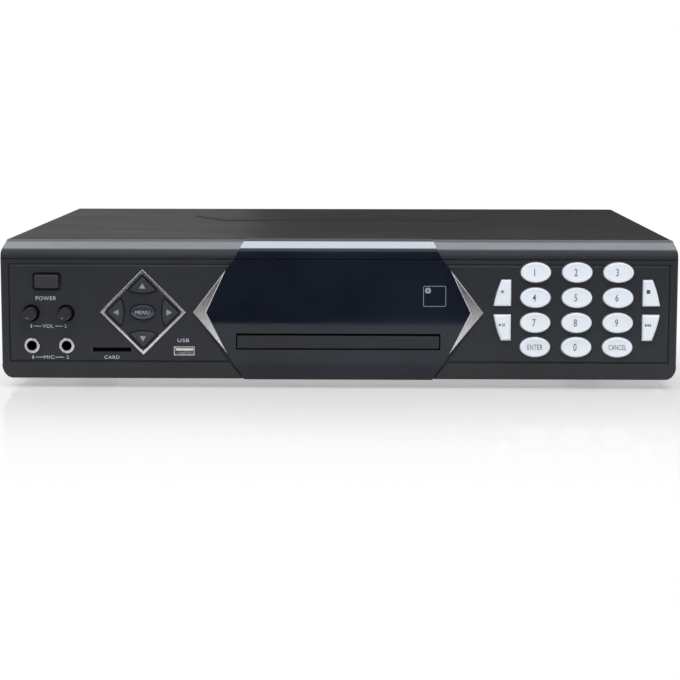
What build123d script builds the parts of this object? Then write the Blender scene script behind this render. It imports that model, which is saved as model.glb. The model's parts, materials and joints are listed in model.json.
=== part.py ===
from build123d import *

import os
from math import acos, cos, pi, radians, sin, tan

# Karaoke machine with a motorised disc tray, in millimetres.
# +X is the viewer's right, +Y runs to the back, +Z is up.
# The origin is on the floor, under the middle of the machine.

# ------------------------------------------------------------------ cabinet
WIDTH = 430.0
CASE_DEPTH = 280.0          # front face to rear panel
PANEL_HEIGHT = 88.4
FOOT_HEIGHT = 6.4
KNOB_PROUD = 6.0            # volume knobs, the foremost pieces
SOCKET_PROUD = 8.0          # rear sockets, the rearmost pieces
FACE_Y = KNOB_PROUD - (CASE_DEPTH + KNOB_PROUD + SOCKET_PROUD) / 2
REAR_Y = FACE_Y + CASE_DEPTH
PANEL_Z = FOOT_HEIGHT       # underside of the front panel

# ------------------------------------------------------------------ front panel
PANEL_DEPTH = 20.0
PANEL_WALL = 2.2
BEVEL_HEIGHT = 10.1         # lower bevel, turned under
BEVEL_DEPTH = 5.0
BULLNOSE_FOOT = 78.0        # height where the rounded top begins
NOSE_RADIUS = 6.0
NOSE_TURN = 75.5            # the rest of the top slopes back, flatter by this turn
BULLNOSE_DEPTH = 16.4
BULLNOSE_TOP = 86.9
FOOT_GROOVE = 1.0           # groove along the foot of the rounded top
FOOT_GROOVE_DROPS = (1.4, 0.5, 0.1)
END_ROUND = 1.5             # round the ends of the panel
END_ROUND_WIDTH = 6.0       # lower corners, seen from the front
END_ROUND_HEIGHT = 8.2
PLATEAU_HALF = 210.0
PLATEAU_LOW = 11.3
PLATEAU_HIGH = 74.6
GROOVE_DEPTH = 0.8
GROOVE_TAPER = 62           # inner side of the groove round the plateau
GROOVE_FLOOR = 0.3          # flat floor beside its outer wall
SEAT_DEPTH = 1.0            # the centre fascia is let in this far
FASCIA_PROUD = 0.5

# Half outline of the centre, from the top edge to the lower edge.
HEX_TOP = (59.6, 90.0)
HEX_SHOULDER = (65.8, 77.8)
HEX_TIP = (92.2, 43.5)
HEX_FOOT = (58.2, -4.0)
WING_UPPER = (71.4, 70.5)
WING_INNER = (84.0, 43.5)
WING_LOWER = (70.7, 17.2)
WING_PROUD = 1.2

# ------------------------------------------------------------------ controls
POWER_AT = (-185.3, 63.1)
POWER_SIZE = (14.9, 8.2)
POWER_GAP = 1.7
POWER_CORNER = 2.2          # corners of its opening
POWER_PROUD = 2.7
POWER_TRAVEL = 2.0
KNOB_AT = ((-195.6, 42.6), (-173.4, 42.6))
KNOB_DIAMETER = 8.4
KNOB_HOLE = 10.9
MIC_AT = ((-195.4, 21.8), (-173.2, 21.8))
MIC_BORE = 6.5
MIC_BUSH = 8.6
MIC_NUT = 9.8
CARD_AT = (-144.8, 19.2)
CARD_SLOT = (24.9, 2.5)
USB_AT = (-98.2, 18.6)
USB_SHELL = (13.1, 5.7)

DIAMOND_AT = (-124.3, 43.5)
DIAMOND_HALF = 27.5         # centre to corner
DIAMOND_BAND = 1.9
DIAMOND_PROUD = 0.9
TRIM_CHAMFER = 0.4          # bright edges of the plated trims
ARROW_APEX = 22.6
ARROW_BASE = 14.0
ARROW_HALF = 8.4
ARROW_BELLY = 12.2
ARROW_PROUD = 1.6
ARROW_GAP = 0.6
MENU_SIZE = (15.7, 9.7)
MENU_GAP = (0.6, 0.45)
MENU_PROUD = 2.6
MENU_ROUND = 2.2

KEYPAD_AT = (151.0, 45.5)
KEY_COLUMNS = (124.9, 151.0, 177.0)
KEY_ROWS = (69.8, 53.7, 37.7, 22.1)
KEY_SIZE = (19.1, 12.8)
KEY_GAP = (0.65, 0.45)
KEY_PROUD = 3.0
KEY_ROUND = 1.0
KEY_RIM = 1.5               # flat rim round the dished face
DISH_DEPTH = 0.8
KEYPAD = (("1", "2", "3"), ("4", "5", "6"), ("7", "8", "9"), ("enter", "0", "cancel"))
SIDE_INNER = 41.6           # side keys, from the keypad's centre
SIDE_NARROW = 47.6
SIDE_WIDE = 52.4
SIDE_LEVELS = {"upper": (19.5, 2.9), "lower": (-19.2, -2.7)}
SIDE_KEYS = (("eject", -1, "upper"), ("play", -1, "lower"),
             ("stop", 1, "upper"), ("next", 1, "lower"))
SIDE_GAP = 0.5
SIDE_SWITCH = 3.4           # switch beyond the inner edge, and its level by the near edge's

POST_RADIUS = 2.5           # posts that carry the front boards
PILOT_RADIUS = 1.1
PILOT_START = 4.0
BOARD_HOLE = 1.3
FLANGE_FRONT = 2.6          # depths behind the face
FLANGE_BACK = 3.8
FLANGE_LIP = 1.1            # flange beyond an oval cap, each way
WEDGE_LIP = 1.2             # the same for the side and arrow keys
MENU_LIP = 1.0
STEM_END = 5.4
STEM_RADIUS = 2.0
SWITCH_FRONT = 6.5
BOARD_FRONT = 9.7
BOARD_THICK = 1.6

# ------------------------------------------------------------------ disc drive
OPENING_HALF = 65.05
OPENING_LOW = 19.6          # above the panel's underside
OPENING_HIGH = 30.1
DOOR_HALF = 64.2
DOOR_LOW = 19.9
DOOR_HIGH = 28.7
DOOR_DEPTH = 5.0
TRAY_FRONT = FACE_Y - FASCIA_PROUD + DOOR_DEPTH
TRAY_HALF = 64.0
TRAY_LOW = 27.0             # above the floor, as are all heights below
TRAY_HIGH = 34.4
TRAY_REAR = 38.0
TRAY_UNDER = 29.8           # underside of the tray's floor
TRAY_SKIRT = 2.0
TRAY_CORNER = 6.0
TRAY_ENDS = (3.0, 8.0)      # solid stretch at the front and at the rear
FINGER_AT = 48.0            # finger hollows, from the spindle each way
FINGER_RADIUS = 10.0
DISC_FLOOR = 32.1
DISC_RECESS = 60.5
SMALL_FLOOR = 31.0
SMALL_RECESS = 40.5
SPINDLE_Y = FACE_Y + 68.0
SLOT_HALF = 19.0
DISC_PLANE = 33.1           # where the turntable carries the disc
DISC_THICK = 1.2

RACK_LOW = TRAY_LOW + 0.2
RACK_ENDS = (-126.0, 29.0)
RACK_TEETH = range(-4, 44)  # counted from the pinion, along the closed tray
PINION_AT = (-49.5, -113.0)
PINION_TEETH = 16
PINION_MODULE = 1.0
WHEEL_TEETH = 32
WHEEL_MODULE = 0.8
SMALL_TEETH = 12
PRESSURE_ANGLE = 20.0
ADDENDUM = 0.75             # shortened teeth, in modules
DEDENDUM = 1.1
BACKLASH = 0.2
PITCH_RADIUS = PINION_TEETH * PINION_MODULE / 2
WHEEL_CENTRES = (WHEEL_TEETH + SMALL_TEETH) * WHEEL_MODULE / 2
PULLEY_AT = (PINION_AT[0] + WHEEL_CENTRES, PINION_AT[1])
GEAR_LEVELS = (22.4, 25.4, 29.4)
PULLEY_LEVELS = (25.6, 26.4, 28.4, 29.2)
PULLEY_FLANGE = 1.5         # flanges beyond the belt's seat
THROUGH_GEARS = (20.0, 32.0)
AXLE = 3.0
RUNNING_GAP = 0.05          # shaft to bearing, each side
BELT_RADIUS = 6.65
MOTOR_BELT_RADIUS = 2.45
BELT_THICK = 1.2
BELT_HEIGHT = 1.6
MOTOR_AT = (0.0, -113.0)
MOTOR_SHAFT = 1.0
MOTOR_RADIUS = 10.5
MOTOR_BOTTOM = 10.6
MOTOR_BOSS = 3.0

FRAME_INNER = 64.4
FRAME_WALL = 3.0
FRAME_FRONT = FACE_Y + 17.0
FRAME_REAR = 66.0
FRAME_LOW = 12.0
FRAME_HIGH = 38.5
DECK = (20.0, 22.0)
TRAVERSE_HALF = 30.0
TRAVERSE_PLATE = (17.0, 19.5)
PIVOT_Y = 14.0
PIVOT_Z = 18.25
RAIL_X = 21.0
RAIL_Z = 23.5
SCREW_X = 28.0
SCREW_Z = 22.9
SLED_MOTOR_RADIUS = 3.3
BRIDGE_LEVELS = (39.6, 40.8)

# ------------------------------------------------------------------ casing
STEEL = 1.0
COVER_STEEL = 0.8
COVER_HALF = 214.3
COVER_TOP = PANEL_Z + 88.6
COVER_BEND = 1.8
COVER_FRONT = FACE_Y + PANEL_DEPTH + 0.4
FOOT_RADIUS = 13.0
FOOT_PLACES = [(x, y) for x in (-165.0, 165.0) for y in (FACE_Y + 70.0, REAR_Y - 30.0)]
CARD_LEVEL = 17.0           # underside of the two horizontal boards
CARD_REAR = 128.0
SOCKET_COLUMNS = [95.0 + 20.0 * i for i in range(5)]
SOCKET_ROWS = (38.0, 58.0)
SOCKET_RADIUS = 4.15
INLET_AT = (-170.0, 36.0)
LOADER_FEET = [(x, y) for x in (-72.0, 72.0) for y in (-108.0, 52.0)]
BOARD_HOLES = {"main": [(x, y) for x in (86.0, 199.0) for y in (26.0, 120.0)],
               "power": [(x, y) for x in (-199.0, -101.0) for y in (26.0, 120.0)]}

ARROWS = {"up": 0, "left": 90, "down": 180, "right": 270}
PARTS = "parts"
os.makedirs(PARTS, exist_ok=True)


# ------------------------------------------------------------------ helpers
def save(builder, name):
    """Label a finished sub-part and write its STEP file."""
    builder.part.label = name
    export_step(builder.part, f"{PARTS}/{name}.step")


def face_plane(depth, x=0.0, z=0.0, turn=0.0):
    """Upright plane seen from the front, this deep behind the face, turned in itself."""
    along = (cos(radians(turn)), 0, sin(radians(turn)))
    return Plane(origin=(x, FACE_Y + depth, PANEL_Z + z), x_dir=along, z_dir=(0, -1, 0))


def block(x, y, z, mode=Mode.ADD):
    """Box between two values on each axis."""
    middle = ((x[0] + x[1]) / 2, (y[0] + y[1]) / 2, (z[0] + z[1]) / 2)
    with Locations(middle):
        Box(x[1] - x[0], y[1] - y[0], z[1] - z[0], mode=mode)


def post(at, radius, levels, mode=Mode.ADD):
    """Upright cylinder between two levels."""
    with Locations((at[0], at[1], (levels[0] + levels[1]) / 2)):
        Cylinder(radius, levels[1] - levels[0], mode=mode)


def rod(at, radius, depths, mode=Mode.ADD):
    """Cylinder along Y, at (x, z), between two Y values."""
    with Locations((at[0], (depths[0] + depths[1]) / 2, at[1])):
        Cylinder(radius, depths[1] - depths[0], rotation=(90, 0, 0), mode=mode)


def face_rod(at, radius, depths, mode=Mode.ADD):
    """Cylinder along Y in panel coordinates, between two depths behind the face."""
    rod((at[0], PANEL_Z + at[1]), radius, (FACE_Y + depths[0], FACE_Y + depths[1]), mode)


def face_block(at, size, depths, mode=Mode.ADD):
    """Box in panel coordinates, centred at (x, z), between two depths."""
    x = (at[0] - size[0] / 2, at[0] + size[0] / 2)
    z = (PANEL_Z + at[1] - size[1] / 2, PANEL_Z + at[1] + size[1] / 2)
    block(x, (FACE_Y + depths[0], FACE_Y + depths[1]), z, mode)


def oval(depth, at, size):
    """Ellipse on the face."""
    with BuildSketch(face_plane(depth, *at)) as sketch:
        Ellipse(size[0] / 2, size[1] / 2)
    return sketch.sketch


def rounded(depth, at, size, radius):
    """Rectangle with rounded corners on the face."""
    with BuildSketch(face_plane(depth, *at)) as sketch:
        RectangleRounded(size[0], size[1], radius)
    return sketch.sketch


def polygon(depth, points):
    """Straight-sided outline on the face."""
    with BuildSketch(face_plane(depth)) as sketch:
        with BuildLine():
            Polyline(*points, close=True)
        make_face()
    return sketch.sketch


def side_key_outline(depth, side, level, grow):
    """Side key with one slanted outer edge, widest towards the keypad's middle."""
    far, near = SIDE_LEVELS[level]
    x, z = KEYPAD_AT
    middle = (SIDE_NARROW + SIDE_WIDE) / 2 + 0.5
    with BuildSketch(face_plane(depth, x, z)) as sketch:
        with BuildLine():
            slant = ThreePointArc((side * SIDE_NARROW, far), (side * middle, (far + near) / 2),
                                  (side * SIDE_WIDE, near))
            Polyline(slant @ 1, (side * SIDE_INNER, near), (side * SIDE_INNER, far), slant @ 0)
        make_face()
        if grow:
            offset(amount=grow, kind=Kind.INTERSECTION)
    return sketch.sketch


def arrow_outline(depth, turn, grow):
    """Arrow key: a triangle that points away from the diamond's centre."""
    with BuildSketch(face_plane(depth, *DIAMOND_AT, turn)) as sketch:
        with BuildLine():
            belly = ThreePointArc((-ARROW_HALF, ARROW_BASE), (0, ARROW_BELLY),
                                  (ARROW_HALF, ARROW_BASE))
            Polyline(belly @ 1, (0, ARROW_APEX), belly @ 0)
        make_face()
        if grow:
            offset(amount=grow, kind=Kind.INTERSECTION)
    return sketch.sketch


def screw_posts(places, end):
    """Posts behind the panel, each with a pilot hole for a board screw."""
    for at in places:
        face_rod(at, POST_RADIUS, (PANEL_WALL - 0.3, end))
        face_rod(at, PILOT_RADIUS, (PILOT_START, end), Mode.SUBTRACT)


def board_holes(places, front):
    """Screw holes through an upright board whose front is at this depth."""
    for at in places:
        face_rod(at, BOARD_HOLE, (front - 1, front + BOARD_THICK + 1), Mode.SUBTRACT)


def behind_board(front, at, size, depth):
    """Component on the back of an upright board whose front is at this depth."""
    rear = front + BOARD_THICK
    face_block(at, size, (rear, rear + depth))


def stem(at):
    """Stem between a key's flange and its switch."""
    face_rod(at, STEM_RADIUS, (FLANGE_BACK, STEM_END))


def panel_section(inset):
    """Side profile of the front panel, moved in from its outer surface."""
    with BuildSketch(Plane.YZ) as section:
        with BuildLine():
            nose = CenterArc((FACE_Y + NOSE_RADIUS, PANEL_Z + BULLNOSE_FOOT),
                             NOSE_RADIUS - inset, 180 - NOSE_TURN, NOSE_TURN)
            Polyline(nose @ 1,
                     (FACE_Y + inset, PANEL_Z + BEVEL_HEIGHT),
                     (FACE_Y + BEVEL_DEPTH + inset / 2, PANEL_Z + inset),
                     (FACE_Y + PANEL_DEPTH, PANEL_Z + inset),
                     (FACE_Y + PANEL_DEPTH, PANEL_Z + PANEL_HEIGHT - inset),
                     (FACE_Y + BULLNOSE_DEPTH + inset / 3, PANEL_Z + BULLNOSE_TOP - inset),
                     nose @ 0)
        make_face()
    return section.sketch


def panel_outline(inset):
    """Front view of the panel, with its rounded corners, moved in by inset."""
    half = WIDTH / 2 - inset
    corner_x = half - END_ROUND_WIDTH
    corner_z = END_ROUND_HEIGHT + inset
    top = PANEL_HEIGHT - inset + 1
    with BuildSketch(face_plane(PANEL_DEPTH + 1)) as outline:
        with BuildLine():
            right = EllipticalCenterArc((corner_x, corner_z), END_ROUND_WIDTH,
                                        END_ROUND_HEIGHT, 270, arc_size=90)
            left = EllipticalCenterArc((-corner_x, corner_z), END_ROUND_WIDTH,
                                       END_ROUND_HEIGHT, 180, arc_size=90)
            Line(left @ 1, right @ 0)
            Polyline(right @ 1, (half, top), (-half, top), left @ 0)
        make_face()
    return outline.sketch


def panel_blank(inset):
    """Solid blank of the front panel, this far inside its outer surface."""
    with BuildPart() as blank:
        extrude(panel_section(inset), amount=WIDTH / 2 - inset, both=True)
        extrude(panel_outline(inset), amount=PANEL_DEPTH + 4, mode=Mode.INTERSECT)
    return blank.part


def foot_groove(lift):
    """V groove along the foot of the rounded top."""
    front = FACE_Y - lift - 0.1
    low, deepest, high = [PANEL_Z + BULLNOSE_FOOT - drop for drop in FOOT_GROOVE_DROPS]
    with BuildSketch(Plane.YZ) as groove:
        with BuildLine():
            Polyline((front, low), (front + FOOT_GROOVE, deepest), (front, high), close=True)
        make_face()
    return groove.sketch


def mirror_points(points):
    """Half outline and its mirror image, as one closed list of points."""
    return list(points) + [(-x, z) for x, z in reversed(points)]


def opened_for_controls():
    """Cut every control and socket opening through the part being built."""
    through = -(PANEL_WALL + 2)
    power = (POWER_SIZE[0] + 2 * POWER_GAP, POWER_SIZE[1] + 2 * POWER_GAP)
    extrude(rounded(-1, POWER_AT, power, POWER_CORNER), amount=through, mode=Mode.SUBTRACT)
    for at in KNOB_AT:
        face_rod(at, KNOB_HOLE / 2, (-1, 4), Mode.SUBTRACT)
    for at in MIC_AT:
        face_rod(at, MIC_BUSH / 2 + 0.1, (-1, 4), Mode.SUBTRACT)
    face_block(CARD_AT, (CARD_SLOT[0] + 0.5, CARD_SLOT[1] + 0.3), (-1, 4), Mode.SUBTRACT)
    face_block(USB_AT, (USB_SHELL[0] + 0.4, USB_SHELL[1] + 0.4), (-1, 4), Mode.SUBTRACT)
    for turn in ARROWS.values():
        extrude(arrow_outline(-1, turn, ARROW_GAP), amount=through, mode=Mode.SUBTRACT)
    menu = (MENU_SIZE[0] + 2 * MENU_GAP[0], MENU_SIZE[1] + 2 * MENU_GAP[1])
    extrude(oval(-1, DIAMOND_AT, menu), amount=through, mode=Mode.SUBTRACT)
    hole = (KEY_SIZE[0] + 2 * KEY_GAP[0], KEY_SIZE[1] + 2 * KEY_GAP[1])
    for x in KEY_COLUMNS:
        for z in KEY_ROWS:
            extrude(oval(-1, (x, z), hole), amount=through, mode=Mode.SUBTRACT)
    for _, side, level in SIDE_KEYS:
        extrude(side_key_outline(-1, side, level, SIDE_GAP), amount=through,
                mode=Mode.SUBTRACT)


# ------------------------------------------------------------------ front of the cabinet
HEXAGON = mirror_points([HEX_TOP, HEX_SHOULDER, HEX_TIP, HEX_FOOT])
LENS = mirror_points([HEX_TOP, HEX_SHOULDER, WING_UPPER, WING_INNER, WING_LOWER, HEX_FOOT])
TRAY_MIDDLE = (0, (OPENING_LOW + OPENING_HIGH) / 2)
TRAY_OPENING = (2 * OPENING_HALF, OPENING_HIGH - OPENING_LOW)
WINDOW_AT = (0, 56.0)
WINDOW = (84.0, 14.0)
SENSOR_AT = (61.2, 54.2)
KEYPAD_POSTS = [(x, z) for x in (99.5, 205.5) for z in (14.0, 76.0)]
CONTROL_POSTS = [(-203.0, 73.0), (-160.0, 73.0), (-98.0, 73.0), (-98.0, 27.5), (-150.5, 27.5)]
DISPLAY_POSTS = [(-62.0, 45.0), (-62.0, 72.0), (62.0, 45.0), (62.0, 72.0)]
DISPLAY_FRONT = 12.0

with BuildPart() as fascia_seat:
    extrude(polygon(PANEL_DEPTH + 1, HEXAGON), amount=PANEL_DEPTH + 4)
    add(panel_blank(SEAT_DEPTH), mode=Mode.SUBTRACT)

with BuildPart() as front_panel:
    add(panel_blank(0))
    rounded_ends = [edge for edge in front_panel.edges()
                    if abs(abs(edge.center().X) - WIDTH / 2) < 0.01
                    and FACE_Y - 1 < edge.center().Y < FACE_Y + PANEL_DEPTH - 1
                    and edge.center().Z > PANEL_Z + BEVEL_HEIGHT]
    fillet(rounded_ends, radius=END_ROUND)
    add(panel_blank(PANEL_WALL), mode=Mode.SUBTRACT)
    extrude(foot_groove(0), amount=WIDTH / 2 + 1, both=True, mode=Mode.SUBTRACT)
    plateau_z = (PLATEAU_LOW + PLATEAU_HIGH) / 2
    plateau = (2 * PLATEAU_HALF, PLATEAU_HIGH - PLATEAU_LOW)
    face_block((0, plateau_z), plateau, (-0.1, GROOVE_DEPTH), Mode.SUBTRACT)
    with BuildSketch(face_plane(GROOVE_DEPTH, 0, plateau_z)):
        Rectangle(plateau[0] - 2 * GROOVE_FLOOR, plateau[1] - 2 * GROOVE_FLOOR)
    extrude(amount=GROOVE_DEPTH, taper=GROOVE_TAPER)
    add(fascia_seat.part, mode=Mode.SUBTRACT)
    opened_for_controls()
    face_block(TRAY_MIDDLE, TRAY_OPENING, (-1, 4), Mode.SUBTRACT)
    face_block(WINDOW_AT, WINDOW, (-1, 4), Mode.SUBTRACT)
    face_rod(SENSOR_AT, 4.0, (-1, 4), Mode.SUBTRACT)
    screw_posts(KEYPAD_POSTS + CONTROL_POSTS, BOARD_FRONT)
    screw_posts(DISPLAY_POSTS, DISPLAY_FRONT)
save(front_panel, "front_panel")

with BuildPart() as centre_fascia:
    add(panel_blank(-FASCIA_PROUD))
    extrude(polygon(PANEL_DEPTH + 2, LENS), amount=PANEL_DEPTH + 6, mode=Mode.INTERSECT)
    add(panel_blank(SEAT_DEPTH), mode=Mode.SUBTRACT)
    extrude(foot_groove(FASCIA_PROUD), amount=WIDTH / 2, both=True, mode=Mode.SUBTRACT)
    face_block(TRAY_MIDDLE, TRAY_OPENING, (-1, 4), Mode.SUBTRACT)
save(centre_fascia, "centre_fascia")

with BuildPart() as wing_trims:
    for side in (-1, 1):
        corners = [(side * x, z) for x, z in (WING_UPPER, HEX_TIP, WING_LOWER, WING_INNER)]
        extrude(polygon(SEAT_DEPTH, corners), amount=SEAT_DEPTH + WING_PROUD)
    front_edges = wing_trims.faces().filter_by(Axis.Y).group_by(Axis.Y)[0].edges()
    chamfer(front_edges, length=TRIM_CHAMFER)
save(wing_trims, "wing_trims")

with BuildPart() as diamond_trim:
    x, z = DIAMOND_AT
    side = DIAMOND_HALF * 2 ** 0.5
    inner = side - 2 * DIAMOND_BAND
    with BuildSketch(face_plane(0, x, z)):
        Rectangle(side, side, rotation=45)
        Rectangle(inner, inner, rotation=45, mode=Mode.SUBTRACT)
    extrude(amount=DIAMOND_PROUD)
    top_edges = diamond_trim.faces().filter_by(Axis.Y).group_by(Axis.Y)[0].edges()
    chamfer(top_edges, length=TRIM_CHAMFER)
save(diamond_trim, "diamond_trim")


# ------------------------------------------------------------------ keys and knobs
def front_rim(part):
    """Edges round the foremost flat face."""
    return part.faces().filter_by(Axis.Y).sort_by(Axis.Y)[0].outer_wire().edges()


def dish(at, size, depth):
    """Shallow oval hollow in a key's face, the cap of a stretched ball."""
    reach = 4.0
    spread = reach / (reach ** 2 - (reach - depth) ** 2) ** 0.5
    ball = Sphere(1.0, mode=Mode.PRIVATE)
    ball = scale(ball, by=(size[0] / 2 * spread, reach, size[1] / 2 * spread),
                 mode=Mode.PRIVATE)
    front = FACE_Y - KEY_PROUD - (reach - depth)
    return Pos(at[0], front, PANEL_Z + at[1]) * ball


def stepped_key(cap, flange, proud, switches):
    """Key cap with its flange behind the panel and a stem for each switch."""
    with BuildPart() as key:
        extrude(cap, amount=FLANGE_BACK + proud)
        extrude(flange, amount=FLANGE_BACK - FLANGE_FRONT)
        for at in switches:
            stem(at)
    return key.part


KEY_PLACES = {KEYPAD[row][column]: (KEY_COLUMNS[column], KEY_ROWS[row])
              for row in range(4) for column in range(3)}
SIDE_PLACES = {name: (KEYPAD_AT[0] + side * (SIDE_INNER + SIDE_SWITCH),
                      KEYPAD_AT[1] + SIDE_LEVELS[level][1] * SIDE_SWITCH)
               for name, side, level in SIDE_KEYS}
ARROW_SWITCH = 16.5
ARROW_PLACES = {name: (DIAMOND_AT[0] - ARROW_SWITCH * sin(radians(turn)),
                       DIAMOND_AT[1] + ARROW_SWITCH * cos(radians(turn)))
                for name, turn in ARROWS.items()}

for name, at in KEY_PLACES.items():
    cap_outline = oval(FLANGE_BACK, at, KEY_SIZE)
    lip_outline = oval(FLANGE_BACK, at, [length + 2 * FLANGE_LIP for length in KEY_SIZE])
    with BuildPart() as oval_key:
        add(stepped_key(cap_outline, lip_outline, KEY_PROUD, [at]))
        fillet(front_rim(oval_key), radius=KEY_ROUND)
        hollow = (KEY_SIZE[0] - 2 * KEY_RIM, KEY_SIZE[1] - 2 * KEY_RIM)
        add(dish(at, hollow, DISH_DEPTH), mode=Mode.SUBTRACT)
    save(oval_key, f"key_{name}")

for name, side, level in SIDE_KEYS:
    cap_outline = side_key_outline(FLANGE_BACK, side, level, 0)
    lip_outline = side_key_outline(FLANGE_BACK, side, level, WEDGE_LIP)
    with BuildPart() as side_key:
        add(stepped_key(cap_outline, lip_outline, KEY_PROUD, [SIDE_PLACES[name]]))
        chamfer(front_rim(side_key), length=1.0)
    save(side_key, f"key_{name}")

for name, turn in ARROWS.items():
    cap_outline = arrow_outline(FLANGE_BACK, turn, 0)
    lip_outline = arrow_outline(FLANGE_BACK, turn, WEDGE_LIP)
    with BuildPart() as arrow_key:
        add(stepped_key(cap_outline, lip_outline, ARROW_PROUD, [ARROW_PLACES[name]]))
        chamfer(front_rim(arrow_key), length=0.6)
    save(arrow_key, f"key_{name}")

with BuildPart() as key_menu:
    lip_size = [length + 2 * MENU_LIP for length in MENU_SIZE]
    add(stepped_key(oval(FLANGE_BACK, DIAMOND_AT, MENU_SIZE),
                    oval(FLANGE_BACK, DIAMOND_AT, lip_size), MENU_PROUD, [DIAMOND_AT]))
    fillet(front_rim(key_menu), radius=MENU_ROUND)
save(key_menu, "key_menu")

with BuildPart() as power_button:
    lip_size = [length + 2 * (POWER_GAP + FLANGE_LIP) for length in POWER_SIZE]
    add(stepped_key(rounded(FLANGE_BACK, POWER_AT, POWER_SIZE, 1.2),
                    rounded(FLANGE_BACK, POWER_AT, lip_size, POWER_CORNER), POWER_PROUD,
                    [POWER_AT]))
    chamfer(front_rim(power_button), length=0.5)
save(power_button, "power_button")

KNOB_REAR = 4.0
SPINDLE_RADIUS = 2.0
POT = (9.0, 17.0)           # depths of a volume control's body
NUT_PROUD = 1.3
for number, at in enumerate(KNOB_AT, start=1):
    with BuildPart() as volume_knob:
        face_rod(at, KNOB_DIAMETER / 2, (-KNOB_PROUD, KNOB_REAR))
        fillet(front_rim(volume_knob), radius=0.7)
        face_rod(at, SPINDLE_RADIUS, (KNOB_REAR, POT[1] - 1))
    save(volume_knob, f"volume_knob_{number}")

with BuildPart() as jack_nuts:
    for at in MIC_AT:
        face_rod(at, MIC_NUT / 2, (-NUT_PROUD, 0))
    chamfer(jack_nuts.faces().filter_by(Axis.Y).group_by(Axis.Y)[0].edges(), length=0.45)
    for at in MIC_AT:
        face_rod(at, MIC_BUSH / 2, (-2, 1), Mode.SUBTRACT)
save(jack_nuts, "jack_nuts")


# ------------------------------------------------------------------ front boards
JACK_LEVELS = (14.1, 32.6)  # above the panel's underside
JACK_WIDTH = 15.0
JACK_END = 34.0
MIC_BOARD_TOP = JACK_LEVELS[1] + BOARD_THICK
MIC_BOARD_WIDTH = 46.0
MIC_BOARD_DEPTHS = (5.0, 45.0)
MIC_SOCKET = (30.0, 6.0)    # ribbon socket on the microphone board
MIC_SOCKET_DEPTHS = (36.0, 42.0)
POT_WIDTH = 16.0
POT_COLLAR = 3.5
SWITCH = 6.0
POWER_SWITCH = (12.0, 8.0)
SWITCH_CLEARANCE = 0.3
RIBBON_SOCKET = (24.0, 5.0)
RIBBON_SOCKET_DEPTH = 4.4
RIBBON_LEVEL = 62.0         # height of the front boards' ribbon sockets
KEYPAD_RIBBON = 140.0       # X of each ribbon
CONTROL_RIBBON = -125.0
MIC_RIBBON = -184.0
KEYPAD_BOARD = ((152.5, 45.0), (112.0, 70.0))   # middle and size
KEYPAD_CHIP = ((150.0, 32.0), (40.0, 12.0))
CHIP_DEPTH = 2.4
CONTROL_BOARD = [(-207, 54), (-207, 77), (-94, 77), (-94, 24), (-154, 24), (-154, 54)]
MEDIA_BOARD = ((-125.0, 14.9), 74.0)            # middle and width
MEDIA_DEPTHS = (4.0, 40.0)
MEDIA_TOP = 15.7
USB_DEPTHS = (0.2, 15.0)
USB_WALL = 0.4
USB_MOUTH = 12.0
USB_TONGUE = (11.1, 1.6)
USB_TONGUE_DEPTHS = (1.5, 13.0)
CARD_HOLDER = (29.0, 6.2)
CARD_HOLDER_END = 32.0
CARD_SLOT_END = 28.0
DISPLAY_BOARD = ((0.0, 59.0), (134.0, 34.0))
DISPLAY_GLASS = (94.0, 20.0)
DISPLAY_GLASS_FRONT = 5.0
SENSOR_CASE = 7.0
SENSOR_DEPTHS = (4.5, 7.0)  # front of its lens and of its case
SENSOR_LENS = 2.8
DISPLAY_SOCKET_LEVEL = 70.0


def switch_row(places):
    """Push switches on an upright board."""
    for at in places:
        face_block(at, (SWITCH, SWITCH), (SWITCH_FRONT, BOARD_FRONT))


with BuildPart() as keypad_board:
    face_block(*KEYPAD_BOARD, (BOARD_FRONT, BOARD_FRONT + BOARD_THICK))
    switch_row(list(KEY_PLACES.values()) + list(SIDE_PLACES.values()))
    board_holes(KEYPAD_POSTS, BOARD_FRONT)
    behind_board(BOARD_FRONT, *KEYPAD_CHIP, CHIP_DEPTH)
    behind_board(BOARD_FRONT, (KEYPAD_RIBBON, RIBBON_LEVEL), RIBBON_SOCKET, RIBBON_SOCKET_DEPTH)
save(keypad_board, "keypad_board")

with BuildPart() as control_board:
    extrude(polygon(BOARD_FRONT, CONTROL_BOARD), amount=-BOARD_THICK)
    switch_row(list(ARROW_PLACES.values()) + [DIAMOND_AT])
    face_block(POWER_AT, POWER_SWITCH, (STEM_END + POWER_TRAVEL + SWITCH_CLEARANCE, BOARD_FRONT))
    board_holes(CONTROL_POSTS, BOARD_FRONT)
    behind_board(BOARD_FRONT, (CONTROL_RIBBON, RIBBON_LEVEL), RIBBON_SOCKET, RIBBON_SOCKET_DEPTH)
save(control_board, "control_board")

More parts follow.
